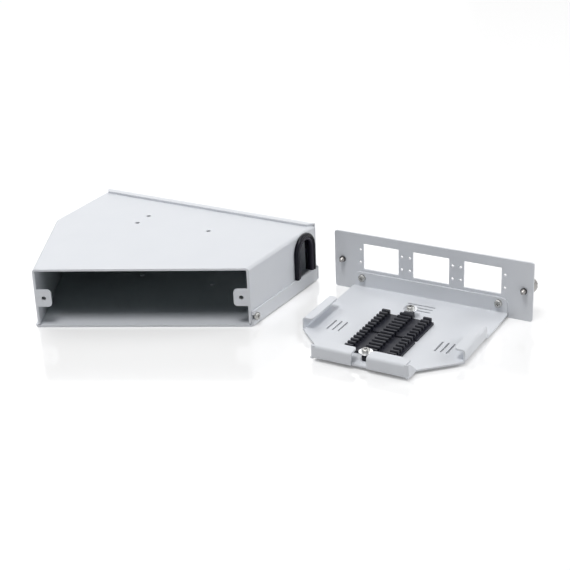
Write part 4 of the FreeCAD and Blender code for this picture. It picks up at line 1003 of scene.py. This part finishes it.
    def build(self, name: str) -> bpy.types.Object:
        """Makes the thumbscrew's mesh as a closed surface.

        Args:
            name: the object's name.

        Returns:
            The object.
        """
        along, radius, thread, fluted = self.profile()
        angle, slotted = self.angles()
        wave = 0.5 + 0.5 * np.cos(angle[None, :] - 2 * np.pi * along[:, None] / self.pitch)
        share = (angle * self.flutes / (2 * np.pi)) % 1.0
        flute = np.clip(1.0 - np.abs(share * 2 - 1) / self.flute_share, 0.0, 1.0) ** self.flute_power
        skin = radius[:, None] - self.thread_depth * thread[:, None] * wave
        skin = skin - self.flute_depth * fluted[:, None] * flute[None, :]
        floor = self.knob_end - self.slot_depth
        place = np.repeat(along[:, None], angle.size, axis=1)
        place = np.where(slotted[None, :], np.minimum(place, floor), place)
        side = np.stack([skin * np.cos(angle), place, skin * np.sin(angle)], axis=-1)
        faces = [ring_faces(*skin.shape)]
        rim = side[-1][np.abs(angle) < np.pi / 2]
        chords = np.stack([rim * np.array([-1.0, 1.0, 1.0]), rim], axis=1)
        grid = skin.size + np.arange(rim.shape[0] * 2).reshape(-1, 2)
        faces.append(np.stack([grid[:-1, 0], grid[:-1, 1], grid[1:, 1], grid[1:, 0]], axis=-1))
        points = np.concatenate([side.reshape(-1, 3), chords.reshape(-1, 3)])
        points = points + np.array([self.axis_x, self.inner_face, self.axis_z])
        return closed_mesh(name, points, np.concatenate(faces), self.merge)


class Finishes:
    """Every finish, built once."""

    def __init__(self, shared: SharedEffects) -> None:
        self.coat = COAT.build(shared)
        self.shaded_casing_coat = SHADED_CASING_COAT.build(shared)
        self.rubber = RUBBER.build(shared)
        self.plastic = PLASTIC.build(shared)
        self.screw_zinc = SCREW_ZINC.build(shared)
        self.washer_zinc = WASHER_ZINC.build(shared)
        self.nickel = TURNED_NICKEL.build(shared)
        self.clip_steel = CLIP_STEEL.build(shared)
        self.wire = WIRE.build(shared)
        self.blackened = BLACKENED.build(shared)


@dataclass(frozen=True)
class Edging:
    """The rubber edging of the cable entry: one section carried up, over and down an arch.

    The section's rows are two lengths: out from the arch's middle line, and in from the wall's outer face.
    Outside, a round bead and a lower inner roll meet in a crease. Inside, a lip grips the wall. Lengths are
    in metres, but for bead, roll and grip.

    Args:
        corner: the wall's front corner on its outer face.
        along: direction along the wall.
        middle: the arch's middle line, along the wall from the corner.
        crown: height of the arch's centre.
        foot: height at which both legs stand.
        bead: centre of the bead and its half width and half height, in millimetres.
        roll: the same for the inner roll.
        grip: rows of the lip from the roll to the bead, in millimetres.
        crease: angles in degrees at which the roll begins and the bead ends.
        roll_rows: rows round the roll.
        bead_rows: rows round the bead.
        leg_rows: rows up a leg.
        crown_rows: rows over the crown.
        sheen_to: distance out from the middle line up to which the rubber has a painted sheen.
        sheen_from: distance in from the wall's outer face up to which it has that sheen, negative outside the
            wall.
        sheen_blur: length over which it fades.
        merge: points nearer than this become one.
    """

    corner: Tuple[float, float] = (87.88 * MM, -45.57 * MM)
    along: Tuple[float, float] = (0.05053, 0.99872)
    middle: float = 69.98 * MM
    crown: float = 30.0 * MM
    foot: float = 11.6 * MM
    bead: Tuple[float, float, float, float] = (11.30, -1.50, 1.45, 1.50)
    roll: Tuple[float, float, float, float] = (9.00, -1.20, 1.00, 1.45)
    grip: Tuple[Tuple[float, float], ...] = (
        (8.0, 0.4), (8.0, 2.0), (8.0, 3.3), (8.12, 3.58), (8.4, 3.7), (10.35, 3.7), (10.63, 3.58),
        (10.75, 3.3), (10.75, 1.65), (10.15, 1.55), (10.15, -0.05), (12.6, -0.05), (12.71, -0.09),
        (12.75, -0.2))
    crease: Tuple[float, float] = (35.0, 154.0)
    roll_rows: int = 19
    bead_rows: int = 25
    leg_rows: int = 14
    crown_rows: int = 73
    sheen_to: float = 9.95 * MM
    sheen_from: float = -1.1 * MM
    sheen_blur: float = 0.1 * MM
    merge: float = 0.002 * MM

    @staticmethod
    def _arc(oval: Tuple[float, float, float, float], start: float, end: float, count: int) -> np.ndarray:
        """Returns points on an oval from one angle to another, in degrees."""
        angle = np.radians(np.linspace(start, end, count))
        return np.stack([oval[0] + oval[2] * np.cos(angle), oval[1] - oval[3] * np.sin(angle)], axis=-1)

    def section(self) -> np.ndarray:
        """Works out the section.

        Returns:
            Its closed outline, in metres.
        """
        roll = self._arc(self.roll, self.crease[0], 180.0, self.roll_rows)
        bead = self._arc(self.bead, 0.0, self.crease[1], self.bead_rows)
        return np.concatenate([roll, np.array(self.grip), bead]) * MM

    def build(self, name: str) -> bpy.types.Object:
        """Makes the edging's mesh as a closed surface.

        Args:
            name: the object's name.

        Returns:
            The object.
        """
        leg = np.linspace(self.foot, self.crown, self.leg_rows)[:-1]
        over = np.linspace(np.pi, 0.0, self.crown_rows)
        angle = np.concatenate([np.full(leg.size, np.pi), over, np.zeros(leg.size)])
        height = np.concatenate([leg, np.full(self.crown_rows, self.crown), leg[::-1]])
        section = self.section()
        station = self.middle + section[None, :, 0] * np.cos(angle)[:, None]
        level = height[:, None] + section[None, :, 0] * np.sin(angle)[:, None]
        inward = np.broadcast_to(section[None, :, 1], station.shape)
        points = np.stack([self.corner[0] + self.along[0] * station - self.along[1] * inward,
                           self.corner[1] + self.along[1] * station + self.along[0] * inward, level], axis=-1)
        piece = closed_mesh(name, points.reshape(-1, 3), ring_faces(*station.shape), self.merge)
        self._mark_painted_sheen(piece.data)
        return piece

    def _mark_painted_sheen(self, mesh: bpy.types.Mesh) -> None:
        """Marks the roll's outside for a painted sheen, a lighter colour, up to the crease.

        Args:
            mesh: the edging's mesh.
        """
        place = np.empty(len(mesh.vertices) * 3)
        mesh.vertices.foreach_get("co", place)
        x, y, z = place.reshape(-1, 3).T
        station = (x - self.corner[0]) * self.along[0] + (y - self.corner[1]) * self.along[1] - self.middle
        out = np.hypot(station, np.maximum(z - self.crown, 0.0))
        inward = (y - self.corner[1]) * self.along[0] - (x - self.corner[0]) * self.along[1]
        # painted sheen mask: 1 on the roll's outside, fading out at the crease and at the wall
        values = np.clip((self.sheen_to - out) / self.sheen_blur, 0.0, 1.0)
        values *= np.clip((self.sheen_from - inward) / self.sheen_blur, 0.0, 1.0)
        mesh.attributes.new(PAINTED_SHEEN_ATTRIBUTE, "FLOAT", "POINT").data.foreach_set("value", values.astype(np.float32))


@dataclass(frozen=True)
class Casing:
    """The two folded shells with their fasteners and the rubber edging of the cable entry."""

    shells: Tuple[str, ...] = ("lower_shell", "upper_shell")
    fasteners: Tuple[str, ...] = ("shell_screws", "shell_nuts", "tab_nuts")
    edging: str = "cable_grommet"

    def build(self, finishes: Finishes) -> None:
        """Dresses the casing and makes its edging.

        Args:
            finishes: the materials.
        """
        # the shells' coat carries painted shade in the hollow
        dress(self.shells, finishes.shaded_casing_coat)
        dress(self.fasteners, finishes.screw_zinc)
        piece = Edging().build("moulded_" + self.edging)
        piece.data.materials.append(finishes.rubber)
        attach(piece, "casing")
        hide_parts(self.edging)
        low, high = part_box(self.edging)
        LOG.info("made %s in %s for %s to %s", piece.name, finishes.rubber.name, tuple(low), tuple(high))


@dataclass(frozen=True)
class Coil:
    """A compression spring along X, as a round wire carried along a helix. Lengths are in metres.

    The helix climbs slowly in the closed turns at its ends and evenly between them, and the wire's radius
    falls to nothing over the last steps, which closes its ends.

    Args:
        middle: the coil's middle.
        length: length over the wire's middle line.
        radius: radius of that line.
        wire: radius of the wire.
        turns: open turns.
        closed_turns: closed turns at each end.
        steps: steps along the wire in a turn.
        sides: points round the wire.
        closed_climb: climb of a closed turn, in wire radii.
        taper: shares of the wire's radius over its last steps.
        merge: points nearer than this become one.
    """

    middle: Tuple[float, float, float]
    length: float = 15.2 * MM
    radius: float = 2.0 * MM
    wire: float = 0.28 * MM
    turns: float = 8.0
    closed_turns: float = 1.0
    steps: int = 32
    sides: int = 12
    closed_climb: float = 2.1
    taper: Tuple[float, ...] = (0.0, 0.7, 0.93)
    merge: float = 0.002 * MM

    def build(self, name: str) -> bpy.types.Object:
        """Makes the coil's mesh.

        Args:
            name: the object's name.

        Returns:
            The object.
        """
        total = self.turns + 2 * self.closed_turns
        turn = np.linspace(0.0, total, int(total * self.steps) + 1)
        shut = self.closed_climb * self.wire
        rise = (self.length - 2 * shut * self.closed_turns) / self.turns
        begin = shut * self.closed_turns
        along = np.interp(turn, [0.0, self.closed_turns, total - self.closed_turns, total],
                          [0.0, begin, begin + rise * self.turns, self.length])
        angle = 2 * np.pi * turn
        spoke = np.stack([np.zeros_like(angle), np.cos(angle), np.sin(angle)], axis=-1)
        line = spoke * self.radius
        line[:, 0] = along - self.length / 2
        heading = np.gradient(line, axis=0)
        heading /= np.linalg.norm(heading, axis=1, keepdims=True)
        lift = np.cross(heading, spoke)
        around = np.arange(self.sides) * 2 * np.pi / self.sides
        thick = np.full(turn.size, self.wire)
        thick[[0, 1, 2]] = self.wire * np.array(self.taper)
        thick[[-1, -2, -3]] = thick[[0, 1, 2]]
        ring = np.cos(around)[None, :, None] * spoke[:, None, :]
        ring = ring + np.sin(around)[None, :, None] * lift[:, None, :]
        points = line[:, None, :] + thick[:, None, None] * ring + np.array(self.middle)
        return closed_mesh(name, points.reshape(-1, 3), ring_faces(turn.size, self.sides), self.merge)


@dataclass(frozen=True)
class RailClip:
    """The strip-steel clip behind the casing, with its sliding latch and the latch's spring.

    The spring's fixed end stands at spring_stop_x, and spring_keep is the share of its length that is left at
    full travel. Neither is used.
    """

    strips: Tuple[str, ...] = ("rail_clip_channel", "rail_latch")
    fasteners: Tuple[str, ...] = ("rail_clip_spacers", "rail_clip_screws")
    spring: str = "latch_spring"
    spring_stop_x: float = 8.0 * MM
    spring_keep: float = 0.735

    def build(self, finishes: Finishes) -> None:
        """Dresses the clip and coils the spring.

        Args:
            finishes: the materials.
        """
        dress(self.strips, finishes.clip_steel)
        dress(self.fasteners, finishes.screw_zinc)
        low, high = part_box(self.spring)
        middle = tuple((a + b) / 2 for a, b in zip(low, high))
        piece = Coil(middle).build("coiled_" + self.spring)
        piece.data.materials.append(finishes.wire)
        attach(piece, "casing")
        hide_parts(self.spring)
        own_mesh(piece)
        LOG.info("made %s in %s", piece.name, finishes.wire.name)


@dataclass(frozen=True)
class Drawer:
    """The panel and tray with the splice combs and their fasteners."""

    sheets: Tuple[str, ...] = ("front_panel", "splice_tray")
    combs: Tuple[str, ...] = ("splice_comb_far", "splice_comb_near")
    screws: Tuple[str, ...] = ("tray_screws", "tray_nuts", "comb_screws", "comb_nuts")
    washers: Tuple[str, ...] = ("comb_washers",)
    rings: Tuple[str, ...] = ("retaining_ring_left", "retaining_ring_right")

    def build(self, finishes: Finishes) -> None:
        """Dresses the drawer.

        Args:
            finishes: the materials.
        """
        dress(self.sheets, finishes.coat)
        dress(self.combs, finishes.plastic)
        dress(self.screws, finishes.screw_zinc)
        dress(self.washers, finishes.washer_zinc)
        dress(self.rings, finishes.blackened)


@dataclass(frozen=True)
class Thumbscrews:
    """The two captive thumbscrews, each turned in place of its plainer solid.

    Their tips reach tip_length in from the panel's inner face.
    """

    sides: Tuple[str, ...] = ("left", "right")
    tip_length: float = 4.2 * MM

    def build(self, finishes: Finishes) -> None:
        """Makes both thumbscrews on the axes of the solids that they stand for.

        Args:
            finishes: the materials.
        """
        for side in self.sides:
            node = "thumbscrew_" + side
            low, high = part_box(node)
            screw = Turning((low[0] + high[0]) / 2, (low[2] + high[2]) / 2, low[1] + self.tip_length)
            piece = screw.build("turned_" + node)
            piece.data.materials.append(finishes.nickel)
            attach(piece, node)
            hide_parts(node)
            LOG.info("made %s in %s", piece.name, finishes.nickel.name)


def main() -> None:
    """Builds the scene in order."""
    logging.basicConfig(level=logging.INFO)
    bpy.context.scene.view_settings.view_transform = "Standard"
    finishes = Finishes(SharedEffects())
    Casing().build(finishes)
    RailClip().build(finishes)
    Drawer().build(finishes)
    Thumbscrews().build(finishes)
    Studio().build()
    PhotoCamera().build()


if __name__ == "__main__":
    main()
